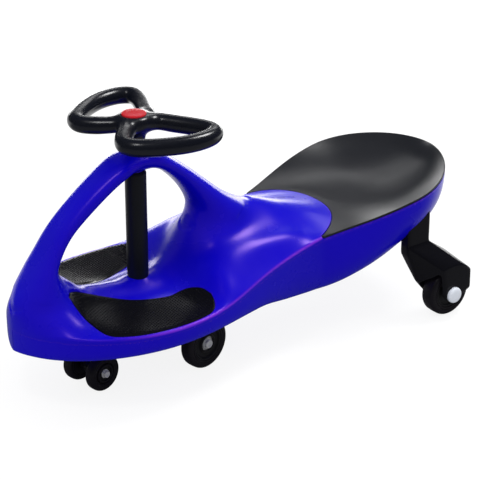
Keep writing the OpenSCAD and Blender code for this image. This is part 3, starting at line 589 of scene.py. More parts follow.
def noise(tree, place, **sockets):
    """Soft noise over a place."""
    return add_node(tree, "ShaderNodeTexNoise", {"Vector": place, **sockets})["Fac"]


def mixed(tree, share, first, second, **settings):
    """A colour mixed from two others."""
    sockets = {"Factor": share, MIX_A: first, MIX_B: second}
    return add_node(tree, "ShaderNodeMix", sockets, data_type="RGBA", **settings)[MIX_RESULT]


def moulded_grain(tree, given, place):
    """Fine pits and slow waves of a moulded surface, as a height and a roughness."""
    pits = noise(tree, place, Scale=given["Size"], Detail=3.0, Roughness=0.6)
    waves = noise(tree, place, Scale=14.0, Detail=4.0, Roughness=0.55)
    return {"Height": pits, "Roughness": ranged(tree, waves, 0.3, 0.7, given["Low"], given["High"])}


def edge_wear_and_highlight(tree, given, place):
    """Convex edges in a lighter colour, which is edge wear and, on the blue body, a painted highlight; the
    painted highlight line that a piece marks; and faint clouding of the colour.
    """
    # Lighter convex edges: wear on most finishes, a painted highlight on the blue body
    edges = ranged(tree, add_node(tree, "ShaderNodeNewGeometry")["Pointiness"], 0.52, 0.62)
    broken = maths(tree, "MULTIPLY", edges, noise(tree, place, Scale=60.0, Detail=5.0, Roughness=0.65))
    worn_and_lit_edges = maths(tree, "MULTIPLY", broken, given["Amount"], use_clamp=True)
    # The line that a piece marks on its mesh is a painted highlight
    painted_line = add_node(tree, "ShaderNodeAttribute", attribute_name=PAINTED_HIGHLIGHT_ATTRIBUTE)["Fac"]
    darkest = maths(tree, "SUBTRACT", 1.0, given["Clouding"])
    shade = ranged(tree, noise(tree, place, Scale=9.0, Detail=3.0), 0.3, 0.7, darkest)
    tone = mixed(tree, 1.0, given["Color"], shade, blend_type="MULTIPLY")
    return {"Color": mixed(tree, maths(tree, "MAXIMUM", worn_and_lit_edges, painted_line), tone, given["Rubbed"])}


def crossing_scuffs(tree, given, place):
    """Thin crossing scratches of use, as a height."""
    lines = []
    for turn, stretch in ((0.5, 9.0), (-0.9, 14.0)):
        drawn = {"Vector": place, "Rotation": (0, 0, turn), "Scale": (1, stretch, 1)}
        cells = {"Vector": add_node(tree, "ShaderNodeMapping", drawn)["Vector"], "Scale": given["Size"]}
        edge = add_node(tree, "ShaderNodeTexVoronoi", cells, feature="DISTANCE_TO_EDGE")["Distance"]
        lines.append(maths(tree, "LESS_THAN", edge, given["Share"]))
    some = ranged(tree, noise(tree, place, Scale=11.0, Detail=2.0), 0.55, 0.65)
    deep = maths(tree, "MULTIPLY", maths(tree, "MAXIMUM", *lines), some)
    return {"Height": maths(tree, "MULTIPLY", deep, -1.0)}


EFFECTS = {
    "Moulded grain": (moulded_grain, {"Size": 900.0, "Low": 0.2, "High": 0.3}),
    "Edge wear and highlight": (
        edge_wear_and_highlight,
        {"Color": (0.5, 0.5, 0.5, 1), "Rubbed": (0.7, 0.7, 0.7, 1), "Amount": 0.3, "Clouding": 0.1},
    ),
    "Scuffs": (crossing_scuffs, {"Size": 6.0, "Share": 0.02}),
}


def with_effect(tree, name, **values):
    """Places an effect in a material. Its shader group is built once."""
    if name not in bpy.data.node_groups:
        build, inputs = EFFECTS[name]
        group = bpy.data.node_groups.new(name, "ShaderNodeTree")
        for label, default in inputs.items():
            kind = "NodeSocketFloat" if isinstance(default, float) else "NodeSocketColor"
            group.interface.new_socket(label, in_out="INPUT", socket_type=kind).default_value = default
        place = add_node(group, "ShaderNodeTexCoord")["Object"]
        results = build(group, add_node(group, "NodeGroupInput"), place)
        for label, socket in results.items():
            kind = "NodeSocketColor" if socket.type == "RGBA" else "NodeSocketFloat"
            group.interface.new_socket(label, in_out="OUTPUT", socket_type=kind)
        add_node(group, "NodeGroupOutput", results)
    return add_node(tree, "ShaderNodeGroup", values, node_tree=bpy.data.node_groups[name])


def finish(name):
    """A moulded or metal surface, made once and shared by the pieces that have it."""
    if name in bpy.data.materials:
        return bpy.data.materials[name]
    look = USUAL | FINISHES[name]
    color = getattr(bpy.context.scene.wiggle_car.colours, look["color"])
    low, high = look["rough"]
    made = bpy.data.materials.new(name)
    made.use_nodes = True
    tree = made.node_tree
    moulded = with_effect(tree, "Moulded grain", Size=look["grain"], Low=low, High=high)
    handled = with_effect(
        tree, "Edge wear and highlight", Color=(*color, 1), Rubbed=(*look["rubbed"], 1), Amount=look["wear_and_highlight"],
        Clouding=look["clouding"],
    )
    height = moulded["Height"]
    if look["scuffs"]:
        height = maths(tree, "ADD", height, with_effect(tree, "Scuffs", Size=look["scuffs"])["Height"])
    bump = add_node(tree, "ShaderNodeBump", {"Distance": look["depth"], "Strength": 1.0, "Height": height})
    fill(tree.nodes["Principled BSDF"], {
        "Metallic": look["metallic"], "Specular IOR Level": look["level"], "Specular Tint": (*look["tint"], 1),
        "Base Color": handled["Color"], "Roughness": moulded["Roughness"], "Normal": bump["Normal"],
    })
    return made


# Sizes and colours that can be changed in the sidebar


def number(name, description, default, **more):
    """A plain number in the sidebar."""
    return FloatProperty(name=name, description=description, default=default, **more)


def length(name, description, default):
    """A length in the sidebar, in metres."""
    return number(name, description, default, min=0, subtype="DISTANCE", unit="LENGTH", precision=4)


def colour(name, description, default):
    """A colour in the sidebar."""
    return FloatVectorProperty(name=name, description=description, default=default, size=3, subtype="COLOR",
                               min=0, max=1)


class WiggleCarSizes(bpy.types.PropertyGroup):
    """Sizes of the finished surfaces."""

    edge_round: length("Edge rounding", "Radius of the edge around the deck", 0.002)
    skin_step: length("Skin step", "Spacing of the points on the moulded body", 0.00235)
    leg_fillet: length("Leg fillet", "Reach of the fillet where the arch meets the deck", 0.034)
    seat_round: length("Seat rounding", "Radius of the edges of the seat", 0.0022)
    dot_pitch: length("Dot pitch", "Spacing of the dots on the footrests", 0.0046)
    dot_width: length("Dot width", "Diameter of a dot on the footrests", 0.0024)
    dot_height: length("Dot height", "Height of a dot on the footrests", 0.0009)
    tyre_round: length("Tyre shoulder", "Radius of the shoulders of the wheels", 0.004)
    grip_step: length("Grip step", "Spacing of the points on the steering wheel", 0.0017)
    bracket_step: length("Bracket step", "Spacing of the points on the brackets and the yoke", 0.0013)


class WiggleCarColours(bpy.types.PropertyGroup):
    """Colours of the finishes."""

    body: colour("Body", "Blue of the moulded body", (0.0022, 0.0008, 0.47))
    seat: colour("Seat", "Black of the seat", (0.011, 0.012, 0.016))
    grips: colour("Grips", "Black of the steering wheel", (0.004, 0.005, 0.01))
    cap: colour("Cap", "Red of the cap on the steering wheel", (0.42, 0.012, 0.016))
    pads: colour("Footrests", "Black of the footrest pads", (0.004, 0.004, 0.006))
    sleeve: colour("Sleeve", "Black of the column sleeve", (0.005, 0.006, 0.01))
    tyres: colour("Wheels", "Black of the wheels", (0.006, 0.005, 0.008))
    hubs: colour("Hubs", "Black of the hubs", (0.009, 0.009, 0.011))
    brackets: colour("Brackets", "Black of the rear brackets and the yoke", (0.004, 0.004, 0.006))
    axle_caps: colour("Axle caps", "White of the rear axle caps", (0.72, 0.76, 0.84))
    steel: colour("Steel", "Colour of the bolts and bearings", (0.62, 0.63, 0.65))


class WiggleCarStage(bpy.types.PropertyGroup):
    """The studio around the car."""

    floor_width: length("Floor width", "Width of the pale floor", 12.0)
    room_light: number("Room light", "Light that comes from all around", 1.0)
    key_power: number("Key light", "Power of the soft lights above", 8.0, unit="POWER")
    backdrop_power: number("Backdrop light", "Power of the low light behind the car", 18.0, unit="POWER")
    floor_glow: number("Floor glow", "Glow that keeps the floor white", 0.86)
    floor_light: number("Floor light", "Light that the floor gives back", 0.36)
    dark_side: number("Dark side", "What gloss shows of the room on the camera's side", 0.03)
    lens: number("Lens", "Focal length of the camera in millimetres", 138.82)


class WiggleCar(bpy.types.PropertyGroup):
    """All settings of the wiggle car."""

    sizes: PointerProperty(type=WiggleCarSizes)
    colours: PointerProperty(type=WiggleCarColours)
    stage: PointerProperty(type=WiggleCarStage)


def size_of(name):
    """A size of the sidebar in millimetres."""
    return getattr(bpy.context.scene.wiggle_car.sizes, name) / MM


# Forms of the body


def arch_form():
    """The solid arch, as rings between oval and square along its line."""
    rows = curve_through(ARCH, 14, 5)
    angle = turns(72)
    lengthwise, sideways = (np.sign(v) * np.abs(v) ** (2 / ARCH_POWER) for v in (np.cos(angle), np.sin(angle)))
    outer, inner, width = rows[:, 0:2], rows[:, 2:4], rows[:, 4]
    middle, reach = (outer + inner) / 2, (outer - inner) / 2
    rings = np.zeros((len(rows), len(angle), 3))
    rings[..., ::2] = middle[:, None] + reach[:, None] * lengthwise[None, :, None]
    rings[..., 1] = width[:, None] * sideways
    return chain("arch", rings)


def deck_profile(x, edge_round):
    """The deck's outer skin across the body at one place, from one lip to the other."""
    w, edge = float(half_w(x)), float(edge_line(x))
    r = min(edge_round, 0.4 * w)
    inner = w - r
    end = float(deck_z(x, inner))
    left = [(w, edge - LIP_H), (w, edge - (LIP_H + r) / 2)]
    left += [(bend(w, w, inner, t), bend(edge - r, edge, end, t)) for t in (0, 0.2, 0.4, 0.6, 0.8)]
    y = inner * np.sin(np.pi / 2 * np.linspace(1, -1, 97))
    middle = list(zip(y, deck_z(np.full_like(y, x), y)))
    return np.array(left + middle + [(-a, b) for a, b in reversed(left)])


def deck_form():
    """The thin deck: its outer skin, and the same skin moved in for the inside."""
    xs, edge_round = stations(241), size_of("edge_round")
    outer = np.array([[(x, y, z) for y, z in deck_profile(x, edge_round)] for x in xs])
    inner = outer.copy()
    width = half_w(xs)
    inner[..., 0] *= (NOSE_X - WALL) / NOSE_X
    inner[..., 1] *= (np.maximum(0.1 * width, width - WALL) / width)[:, None]
    inner[:, 1:-1, 2] -= deck_depth(xs)[:, None]
    return slab("deck", outer, inner)


def moulded_skin(name, parts):
    """One skin over the parts, which keeps their forms and has a fillet where two of them meet."""
    hold_reach, fillet_rounds, even_rounds = 3 * MM, 180, 8
    forms = [BVHTree.FromObject(part, bpy.context.evaluated_depsgraph_get()) for part in parts]
    skin = fused(name, parts, size_of("skin_step"))
    reach = np.array([[form.find_nearest(Vector(p))[3] for p in coords(skin)] for form in forms])
    nearest, second = np.sort(reach, 0)[:2]
    meeting = np.clip(1 - second / (size_of("leg_fillet") * MM), 0, 1)
    meeting = meeting * meeting * (3 - 2 * meeting)
    closest = reach.argmin(0)
    hold = (1 - meeting)[:, None] * (nearest < hold_reach)[:, None]

    def hold_form():
        """Moves the skin back onto the forms, except at the fillets."""
        co = coords(skin)
        spots = np.array([forms[k].find_nearest(Vector(p))[0] for k, p in zip(closest, co)])
        set_coords(skin, co * (1 - hold) + spots * hold)

    hold_form()
    relax(skin, fillet_rounds, weight=meeting, shrink=True)
    for _ in range(2):
        relax(skin, even_rounds)
        hold_form()
    relax(skin, 2)
    return skin


def seat_edges(t, gap=0.0, out=0.0):
    """The seat's inner edge at the tongue of the deck, and its outer edge at the rim."""
    c = np.cos(np.pi * t)
    back = (1 - np.abs(c) ** 2.4) ** 0.8
    tongue = (WAIST_X + gap - (WAIST_X - TONGUE_TIP_X) * back, (WAIST_HALF_W - 4 - gap) * c)
    x = WAIST_X - (WAIST_X + NOSE_X - 0.3) * np.sin(np.pi * t)
    rim = (x + gap - out * np.sin(np.pi * t), np.where(t < 0.5, 1, -1) * (half_w(x) + out))
    return np.stack(tongue, -1), np.stack(rim, -1)


def seat_pocket():
    """What the seat's pocket takes out of the deck: past the rim, and up to well above it."""
    inner, outer = seat_edges(np.linspace(0, 1, 121), GAP, 3)
    share = np.linspace(0, 1, 13)[None, :, None]
    plan = inner[:, None] * (1 - share) + outer[:, None] * share
    z = deck_z(plan[..., 0], plan[..., 1])[..., None]
    return slab("seat pocket", *(np.concatenate([plan, z + rise], -1) for rise in (40, -SEAT_T - ROOM_UNDER)))


def pad_slab(name, rows, cols, gap, top, bottom, side, drop=0.0):
    """The form of a footrest, between two heights over the deck."""
    way = (1 - np.cos(np.pi * np.linspace(0, 1, rows))) / 2
    x = PAD_REAR_X + (PAD_FRONT_X - PAD_REAR_X) * way
    share = np.linspace(0, 1, cols)
    outer, inner = hermite(PAD_OUTER, x) + gap, hermite(PAD_INNER, x) - gap
    y = outer[:, None] * (1 - share) + inner[:, None] * share
    x = np.broadcast_to((x + gap * (2 * way - 1))[:, None], y.shape)
    z = deck_z(x, y)
    return slab(name, *(np.stack([x, side * y, level], -1) for level in (z + top - drop, z + bottom)))


class UpperShellOperator(bpy.types.Operator):
    """Make the deck with its arch, as one moulded skin"""

    bl_idname = "wiggle_car.upper_shell"
    bl_label = "Upper shell"

    def execute(self, context):
        parts = [
            deck_form(),
            arch_form(),
            turned("column boss", rounded(COLUMN_BOSS, 4), on_column()),
            turned("floor boss", rounded(FLOOR_BOSS, 6), on_column()),
            wrapped("leg root", [(x, y * side, z) for x, y, z in LEG_ROOT for side in (1, -1)]),
        ]
        shell = moulded_skin("upper_body", parts)
        cutters = [seat_pocket(), pole("bore", *COLUMN_BORE, on_column())]
        for side, sign in SIDES:
            cutters.append(pad_slab(f"pad pocket {side}", 61, 13, GAP, 10, -PAD_HALF_T - ROOM_UNDER, sign))
        smooth(cut(shell, *cutters), 60)
        modify(shell, "WEIGHTED_NORMAL", mode="FACE_AREA", keep_sharp=True)
        settle(shell)
        self.paint_edge_highlight(shell)
        dressed(shell, "Blue body plastic", "body_blue", "car_body", "upper_shell")
        return {"FINISHED"}

    def paint_edge_highlight(self, shell):
        """Paints a highlight as a lighter line along the edge beside the footrests and the waist."""
        x, y, z = (coords(shell) / MM).T
        off = np.hypot(z - edge_line(x) + 1, np.minimum(0, np.abs(y) - half_w(x) + 2))
        # The line takes the finish's lighter edge colour, as a painted highlight
        share = np.exp(-((off / EDGE_HIGHLIGHT_W) ** 2)) * edge_highlight_share(x)
        shell.data.attributes.new(PAINTED_HIGHLIGHT_ATTRIBUTE, "FLOAT", "POINT").data.foreach_set("value", share)


class LowerShellOperator(bpy.types.Operator):
    """Make the underside of the body"""

    bl_idname = "wiggle_car.lower_shell"
    bl_label = "Lower shell"

    def execute(self, context):
        xs = stations(221)
        angle = np.pi / 2 * (1 - np.cos(np.pi * np.linspace(0, 1, 41))) / 2
        layers = []
        for inset in (0.0, WALL):
            w = np.maximum(0.15 * half_w(xs), half_w(xs) - 0.05 - inset)
            top = edge_line(xs) - LIP_H + LIP_TUCK
            low = keel_line(xs) + inset
            y = w[:, None] * np.cos(angle) ** (2 / keel_width_power(xs))[:, None]
            z = top[:, None] - (top - low)[:, None] * np.sin(angle) ** (2 / keel_depth_power(xs))[:, None]
            x = np.broadcast_to((xs * (NOSE_X - inset) / NOSE_X)[:, None], y.shape)
            half = np.stack([x, y, z], -1)
            layers.append(np.concatenate([half, half[:, -2::-1] * (1, -1, 1)], 1))
        boss = pole("keel boss", *KEEL_BOSS, on_column())
        shell = joined("lower_body", slab("belly", *layers), boss)
        cutters = [pole("keel bore", *KEEL_BORE, on_column())]
        (x0, y0), (x1, y1) = STEM
        for side, sign in SIDES:
            low_y, high_y = sorted((sign * (y0 - GAP), sign * (y1 + GAP)))
            cutters.append(block(f"socket {side}", (x0 - GAP, low_y, 60), (x1 + GAP, high_y, STEM_TOP + 1)))
        smooth(cut(shell, *cutters), 40)
        dressed(shell, "Blue belly plastic", "body_blue", "car_body", "lower_shell")
        refinish("Zinc plated steel", "body_screws", "bracket_pins")
        return {"FINISHED"}


class SeatOperator(bpy.types.Operator):
    """Make the dished seat with its rounded edges"""

    bl_idname = "wiggle_car.seat"
    bl_label = "Seat"

    def execute(self, context):
        rings = []
        for a, b in zip(*seat_edges(np.linspace(0.004, 0.996, 241))):
            span = np.linalg.norm(b - a)
            lead = min(size_of("seat_round"), 0.3 * span)
            steps = lead * (1 - np.cos(np.pi / 2 * np.linspace(0, 1, 6)))
            way = np.concatenate([steps, np.linspace(lead, span - lead, 41)[1:-1], span - steps[::-1]])
            border = np.minimum(way, span - way)
            drop = lead - np.sqrt(np.maximum(0, lead**2 - np.maximum(0, lead - border) ** 2))
            plan = a + (b - a) * (way / span)[:, None]
            top = deck_z(plan[:, 0], plan[:, 1])
            under = np.column_stack([plan, top - SEAT_T])[::-1]
            rings.append(np.concatenate([np.column_stack([plan, top - drop]), under]))
        seat = smooth(chain("seat_moulding", rings), 50)
        dressed(seat, "Satin seat plastic", "seat_black", "car_body", "seat")
        return {"FINISHED"}


class FootrestsOperator(bpy.types.Operator):
    """Make the two footrest pads with their dots"""

    bl_idname = "wiggle_car.footrests"
    bl_label = "Footrests"

    def execute(self, context):
        rows, cols = 121, 31
        row, col = np.arange(rows), np.arange(cols)
        edge = np.minimum.outer(np.minimum(row, row[::-1]), np.minimum(col, col[::-1]))
        drop = np.array([1.0, 0.35, 0.08, 0])[np.minimum(edge, 3)]
        for side, sign in SIDES:
            base = pad_slab(f"pad {side}", rows, cols, 0, PAD_HALF_T, -PAD_HALF_T, sign, drop)
            pad = joined(f"footrest_pad_{side}", smooth(base, 60), smooth(self.dots(side, sign), 60))
            dressed(pad, "Footrest rubber", "pad_black", "car_body", f"footrest_{side}")
        return {"FINISHED"}

    def dots(self, side, sign):
        """The round dots in staggered rows, each standing square on the deck."""
        pitch, r, h = size_of("dot_pitch"), size_of("dot_width") / 2, size_of("dot_height")
        corners, row_step, margin = 8, 0.87, 4
        spots = []
        for row, x in enumerate(np.arange(PAD_REAR_X + 5, PAD_FRONT_X - 8, pitch * row_step)):
            low, high = float(hermite(PAD_INNER, x)) + margin, float(hermite(PAD_OUTER, x)) - margin
            spots += [(x, y) for y in np.arange(16 + pitch / 2 * (row % 2), 140, pitch) if low < y < high]
        x, y = np.array(spots).T
        across = np.stack([np.ones_like(x), 0 * x, deck_z(x + 0.5, y) - deck_z(x - 0.5, y)], -1)
        along = np.stack([0 * x, np.ones_like(x), deck_z(x, y + 0.5) - deck_z(x, y - 0.5)], -1)
        up = np.cross(across, along)
        across /= np.linalg.norm(across, axis=1)[:, None]
        up /= np.linalg.norm(up, axis=1)[:, None]
        along = np.cross(up, across)
        rings = [(1.0, -0.3), (1.0, 0.35 * h), (0.66, 0.82 * h)]
        dome = [(r * s * math.cos(a), r * s * math.sin(a), k) for s, k in rings for a in turns(corners)]
        dome = np.array(dome + [(0, 0, h)])
        middle = np.stack([x, y, deck_z(x, y) + PAD_HALF_T], -1)
        points = middle[:, None]
        for k, axis in enumerate((across, along, up)):
            points = points + dome[None, :, k, None] * axis[:, None]
        points[..., 1] *= sign
        last, tip = 2 * corners, 3 * corners
        unit = grid_faces(3, corners, loop_cols=True)
        unit += [(last + k, last + (k + 1) % corners, tip) for k in range(corners)] + [tuple(range(corners))]
        faces = [tuple((tip + 1) * k + v for v in face) for k in range(len(points)) for face in unit]
        return piece(f"dots {side}", points, faces)


class SteeringWheelOperator(bpy.types.Operator):
    """Make the steering wheel with its two loops, and the cap in its middle"""

    bl_idname = "wiggle_car.steering_wheel"
    bl_label = "Steering wheel"

    def execute(self, context):
        place = on_column(WHEEL_TURN)
        loops = [self.loop(sign) for side, sign in SIDES]
        hub = turned("hub", rounded(WHEEL_HUB, 3))
        wheel = fused("steering_wheel_loops", [*loops, hub], size_of("grip_step"))
        away = np.linalg.norm(coords(wheel)[:, :2], axis=1) / MM
        relax(wheel, 60, weight=np.clip(1.6 - away / 32, 0, 1), shrink=True)
        relax(wheel, 10)
        cap_seat = pole("cap seat", *CAP_SEAT, segments=96)
        bore = pole("bore", *WHEEL_BORE, segments=96)
        smooth(placed(cut(wheel, cap_seat, bore), place))
        dressed(wheel, "Gloss grip plastic", "wheel_black", "steering", "steering_wheel")
        cap = smooth(turned("wheel_cap_disc", rounded(WHEEL_CAP, 0.8), place))
        dressed(cap, "Red cap plastic", "cap_red", "steering", "wheel_cap")
        refinish("Zinc plated steel", "wheel_nut", "steering_shaft", "thrust_washer", "yoke_bolt")
        return {"FINISHED"}

    def loop(self, sign):
        """One loop of the rim, which rises and thickens towards the hub."""
        root_reach, root_rise, root_growth = 34, 4, 0.2
        line = curve_through(GRIP, 10, 3)
        ahead = np.roll(line, -1, 0) - np.roll(line, 1, 0)
        ahead /= np.linalg.norm(ahead, axis=1)[:, None]
        out = np.stack([ahead[:, 1], -ahead[:, 0]], -1)
        angle = turns(32)
        rings = np.zeros((len(line), len(angle), 3))
        root = np.exp(-((np.linalg.norm(line, axis=1) / root_reach) ** 2))[:, None]
        sideways = RIM_D / 2 * (1 + root_growth * root) * np.cos(angle)
        rings[..., :2] = line[:, None] + out[:, None] * sideways[..., None]
        rings[..., 2] = RIM_Z + root_rise * root + RIM_D / 2 * np.sin(angle)
        rings[..., 1] *= sign
        return piece("loop", rings, grid_faces(*rings.shape[:2], loop_rows=True, loop_cols=True))


class ColumnOperator(bpy.types.Operator):
    """Make the sleeve around the shaft, and finish the bushes"""

    bl_idname = "wiggle_car.column"
    bl_label = "Steering column"

    def execute(self, context):
        sleeve = smooth(turned("column_tube", rounded(SLEEVE, 1.2, closed=True), on_column(), 128))
        dressed(sleeve, "Column sleeve plastic", "sleeve_black", "car_body", "column_sleeve")
        refinish("Hub plastic", "upper_bush", "floor_bush", "lower_bush")
        return {"FINISHED"}


class YokeOperator(bpy.types.Operator):
    """Make the yoke that carries the front four wheels"""

    bl_idname = "wiggle_car.yoke"
    bl_label = "Front yoke"

    def execute(self, context):
        forms = [
            pole("boss", *YOKE_BOSS),
            pole("beam", *YOKE_BEAM, on_axle(-DRIVE_BACK, 0, DRIVE_R)),
            pole("nose", *YOKE_NOSE, on_axle(FRONT_AHEAD, 0, FRONT_Z)),
        ]
        for end in SPINE_ENDS:
            plan = circle(*end) + circle(*SPINE_ROOT)
            forms.append(wrapped("spine", [(x, y, z) for x, z in plan for y in (-SPINE_HALF_T, SPINE_HALF_T)]))
        yoke = fused("front_yoke_casting", forms, size_of("bracket_step"))
        relax(yoke, 8, shrink=True)
        smooth(placed(yoke, on_column(YOKE_TURN)), 60)
        dressed(yoke, "Bracket plastic", "yoke_dark", "steering", "front_yoke")
        return {"FINISHED"}


# Forms of the wheels


def hex_bolt(name, across, seat, washer_r, shank_end, place):
    """A bolt's head with its washer and shank: six flats, a chamfer and a dimple."""
    angle = turns(72)
    flats = across / 2 / np.cos((angle + np.pi / 6) % (np.pi / 3) - np.pi / 6)
    base = seat + WASHER_T
    chamfered = [np.minimum(flats, across / 2 * (1.12 - 0.15 * share)) for share in (0.5, 1.0)]
    dimple = [np.full(72, across * share) for share in (0.3, 0.22)]
    rings = [
        np.stack([r * np.cos(angle), r * np.sin(angle), np.full(72, base + BOLT_HEAD_H * share)], -1)
        for r, share in zip([flats, flats, *chamfered, *dimple], (0, 0.72, 0.86, 1, 1, 0.8))
    ]
    washer = turned("washer", rounded([(0, seat), (washer_r, seat), (washer_r, base), (0, base)], 0.3))
    washer.data.polygons.foreach_set("material_index", np.ones(len(washer.data.polygons), int))
    shank = pole("shank", SHANK_D, shank_end, seat + 0.2, segments=48)
    return smooth(placed(joined(name, chain("head", rings), washer, shank), place))


def races(name, spans, place):
    """Ball bearings seen from outside: two races each, with a shield set in between."""
    third = (BEARING_R - BEARING_BORE_R) / 3
    rings = []
    for low, high in spans:
        profile = [
            (BEARING_BORE_R, low), (BEARING_R, low), (BEARING_R, high), (BEARING_R - third * 0.7, high),
            (BEARING_R - third * 0.8, high - 0.7), (BEARING_BORE_R + third * 0.8, high - 0.7),
            (BEARING_BORE_R + third * 0.7, high), (BEARING_BORE_R, high),
        ]
        rings.append(turned("race", rounded(profile, 0.25, closed=True), place))
    return smooth(joined(name, *rings))


def tyre(name, r, core, width, place):
    """A wheel's smooth tread with rounded shoulders, and a step to the hub."""
    profile = [
        (core, 0.6), (core + 3, 0), (r - 3.4, 0), (r - 0.5, 2.6), (r, width / 2), (r - 0.5, width - 2.6),
        (r - 3.4, width), (core + 5, width), (core + 4.2, width - 0.7), (core + 3.2, width - 0.7),
        (core + 2.4, width), (core, width - 0.6),
    ]
    return smooth(turned(name, rounded(profile, size_of("tyre_round"), closed=True), place, 128))


def hub_dish(name, core, width, seat_r, seat_depth, bore, place):
    """A dished hub with a raised collar round its bearing."""
    floor = width - 4.5
    profile = [
        (bore, 1), (core - 0.2, 1), (core - 0.2, width - 0.8), (core - 2.2, width - 0.8), (core - 3.4, floor),
        (seat_r + 3.4, floor), (seat_r + 2.6, width - 0.4), (seat_r, width - 0.4), (seat_r, seat_depth),
        (bore, seat_depth),
    ]
    return smooth(turned(name, rounded(profile, 0.8, closed=True), place, 128))


def wheel(kind, side, r, core, width, seat_r, seat_depth, bore, place):
    """A wheel's tread and its hub, each as a piece of its own."""
    body = f"{kind}_wheel_{side}"
    tread = tyre(f"{kind}_tread_{side}", r, core, width, place)
    dressed(tread, "Wheel rubber", "tyre_black", body, f"{kind}_tyre_{side}")
    dish = hub_dish(f"{kind}_hub_dish_{side}", core, width, seat_r, seat_depth, bore, place)
    dressed(dish, "Hub plastic", "hub_dark", body, f"{kind}_hub_{side}")


class DriveWheelsOperator(bpy.types.Operator):
    """Make the two drive wheels with their bearings and bolts"""

    bl_idname = "wiggle_car.drive_wheels"
    bl_label = "Drive wheels"

    def execute(self, context):
        for side, sign in SIDES:
            place = on_column(YOKE_TURN) @ on_axle(-DRIVE_BACK, DRIVE_FACE_Y - DRIVE_W, DRIVE_R, sign)
            wheel("drive", side, DRIVE_R, DRIVE_HUB_R, DRIVE_W, *DRIVE_SEAT, place)
            rings = races(f"drive_bearing_races_{side}", DRIVE_RACES, place)
            dressed(rings, "Zinc plated steel", "steel", f"drive_wheel_{side}", f"drive_bearings_{side}")
            bolt = hex_bolt(f"drive_bolt_head_{side}", *DRIVE_BOLT, DRIVE_SHANK_END, place)
            dressed(bolt, "Zinc plated steel", "steel", "steering", f"drive_bolt_{side}")
            bolt.data.materials.append(finish("Hub plastic"))
        return {"FINISHED"}


class FrontRollersOperator(bpy.types.Operator):
    """Make the two front rollers on their axle"""

    bl_idname = "wiggle_car.front_rollers"
    bl_label = "Front rollers"

    def execute(self, context):
        heads = []
        for side, sign in SIDES:
            place = on_column(YOKE_TURN) @ on_axle(FRONT_AHEAD, FRONT_FACE_Y - FRONT_W, FRONT_Z, sign)
            body = f"front_roller_{side}"
            tread = tyre("tread", FRONT_R, FRONT_TREAD_IN_R, FRONT_W, place)
            core = hub_dish("core", FRONT_CORE_R, FRONT_W, *FRONT_SEAT, place)
            roller = joined(f"front_roller_tread_{side}", tread, core)
            dressed(roller, "Wheel rubber", "tyre_black", body, f"front_wheel_{side}")
            rings = races(f"front_bearing_races_{side}", FRONT_RACES, place)
            dressed(rings, "Hub plastic", "steel", body, f"front_bearings_{side}")
            heads.append(hex_bolt("end", *FRONT_BOLT, FRONT_SHANK_ENDS[side], place))
        axle = smooth(joined("front_axle_bolt", *heads))
        dressed(axle, "Zinc plated steel", "steel", "steering", "front_axle")
        axle.data.materials.append(finish("Hub plastic"))
        return {"FINISHED"}


class RearWheelsOperator(bpy.types.Operator):
    """Make the two rear wheels with their axles and caps"""

    bl_idname = "wiggle_car.rear_wheels"
    bl_label = "Rear wheels"

    def execute(self, context):
        for side, sign in SIDES:
            place = on_axle(REAR_X, REAR_FACE_Y - REAR_W, REAR_R, sign)
            wheel("rear", side, REAR_R, REAR_HUB_R, REAR_W, *REAR_SEAT, place)
            refinish("Zinc plated steel", f"rear_axle_{side}")
            outside = on_axle(REAR_X, PLATE_OUT_Y + PLATE_T, REAR_R, sign)
            cap = smooth(turned(f"axle_cap_dome_{side}", rounded(AXLE_CAP, 1.0), outside), 50)
            dressed(cap, "White axle cap plastic", "cap_white", "car_body", f"axle_cap_{side}")
        return {"FINISHED"}


class RearBracketsOperator(bpy.types.Operator):
    """Make the two hooded brackets of the rear wheels"""

    bl_idname = "wiggle_car.rear_brackets"
    bl_label = "Rear brackets"

    def execute(self, context):
        (x0, y0), (x1, y1) = STEM
        ring, axle = circle(0, 0, AXLE_RING_R), on_axle(REAR_X, 0, REAR_R)
        points = []
        for plate, face_y in ((ring + INNER_PLATE, PLATE_IN_Y), (ring + self.outer(), PLATE_OUT_Y)):
            points += [(REAR_X + x, y, REAR_R + z) for x, z in plate for y in (face_y, face_y + PLATE_T)]
        points += [(x, y, z) for x in (x0, x1) for y in (y0, y1) for z in (STEM_LOW, STEM_LOW + 14)]
        for side, sign in SIDES:
            pocket = pole("pocket", 2 * HOOD_R, PLATE_IN_Y + PLATE_T, PLATE_OUT_Y, axle, 96)
            head = pole("head", AXLE_HEAD_D, y0 - 1, PLATE_IN_Y, axle, 48)
            hood = cut(wrapped("hood", points), pocket, head)
            stem = block("stem", (x0, y0, STEM_LOW), (x1, y1, STEM_TOP))
            bracket = fused(f"rear_bracket_hood_{side}", [hood, stem], size_of("bracket_step"))
            relax(bracket, 16, shrink=True)
            if sign < 0:
                placed(bracket, Matrix.Scale(-1, 4, (0, 1, 0)))
            smooth(bracket, 60)
            dressed(bracket, "Bracket plastic", "bracket_black", "car_body", f"rear_bracket_{side}")
        return {"FINISHED"}

    def outer(self):
        """The outer plate: a round hood with its front lower part cut away."""
        r = HOOD_R + PLATE_T
        rim = [(r * math.cos(a), r * math.sin(a)) for a in np.radians(np.linspace(65, 136, 18))]
        return OUTER_PLATE + rim


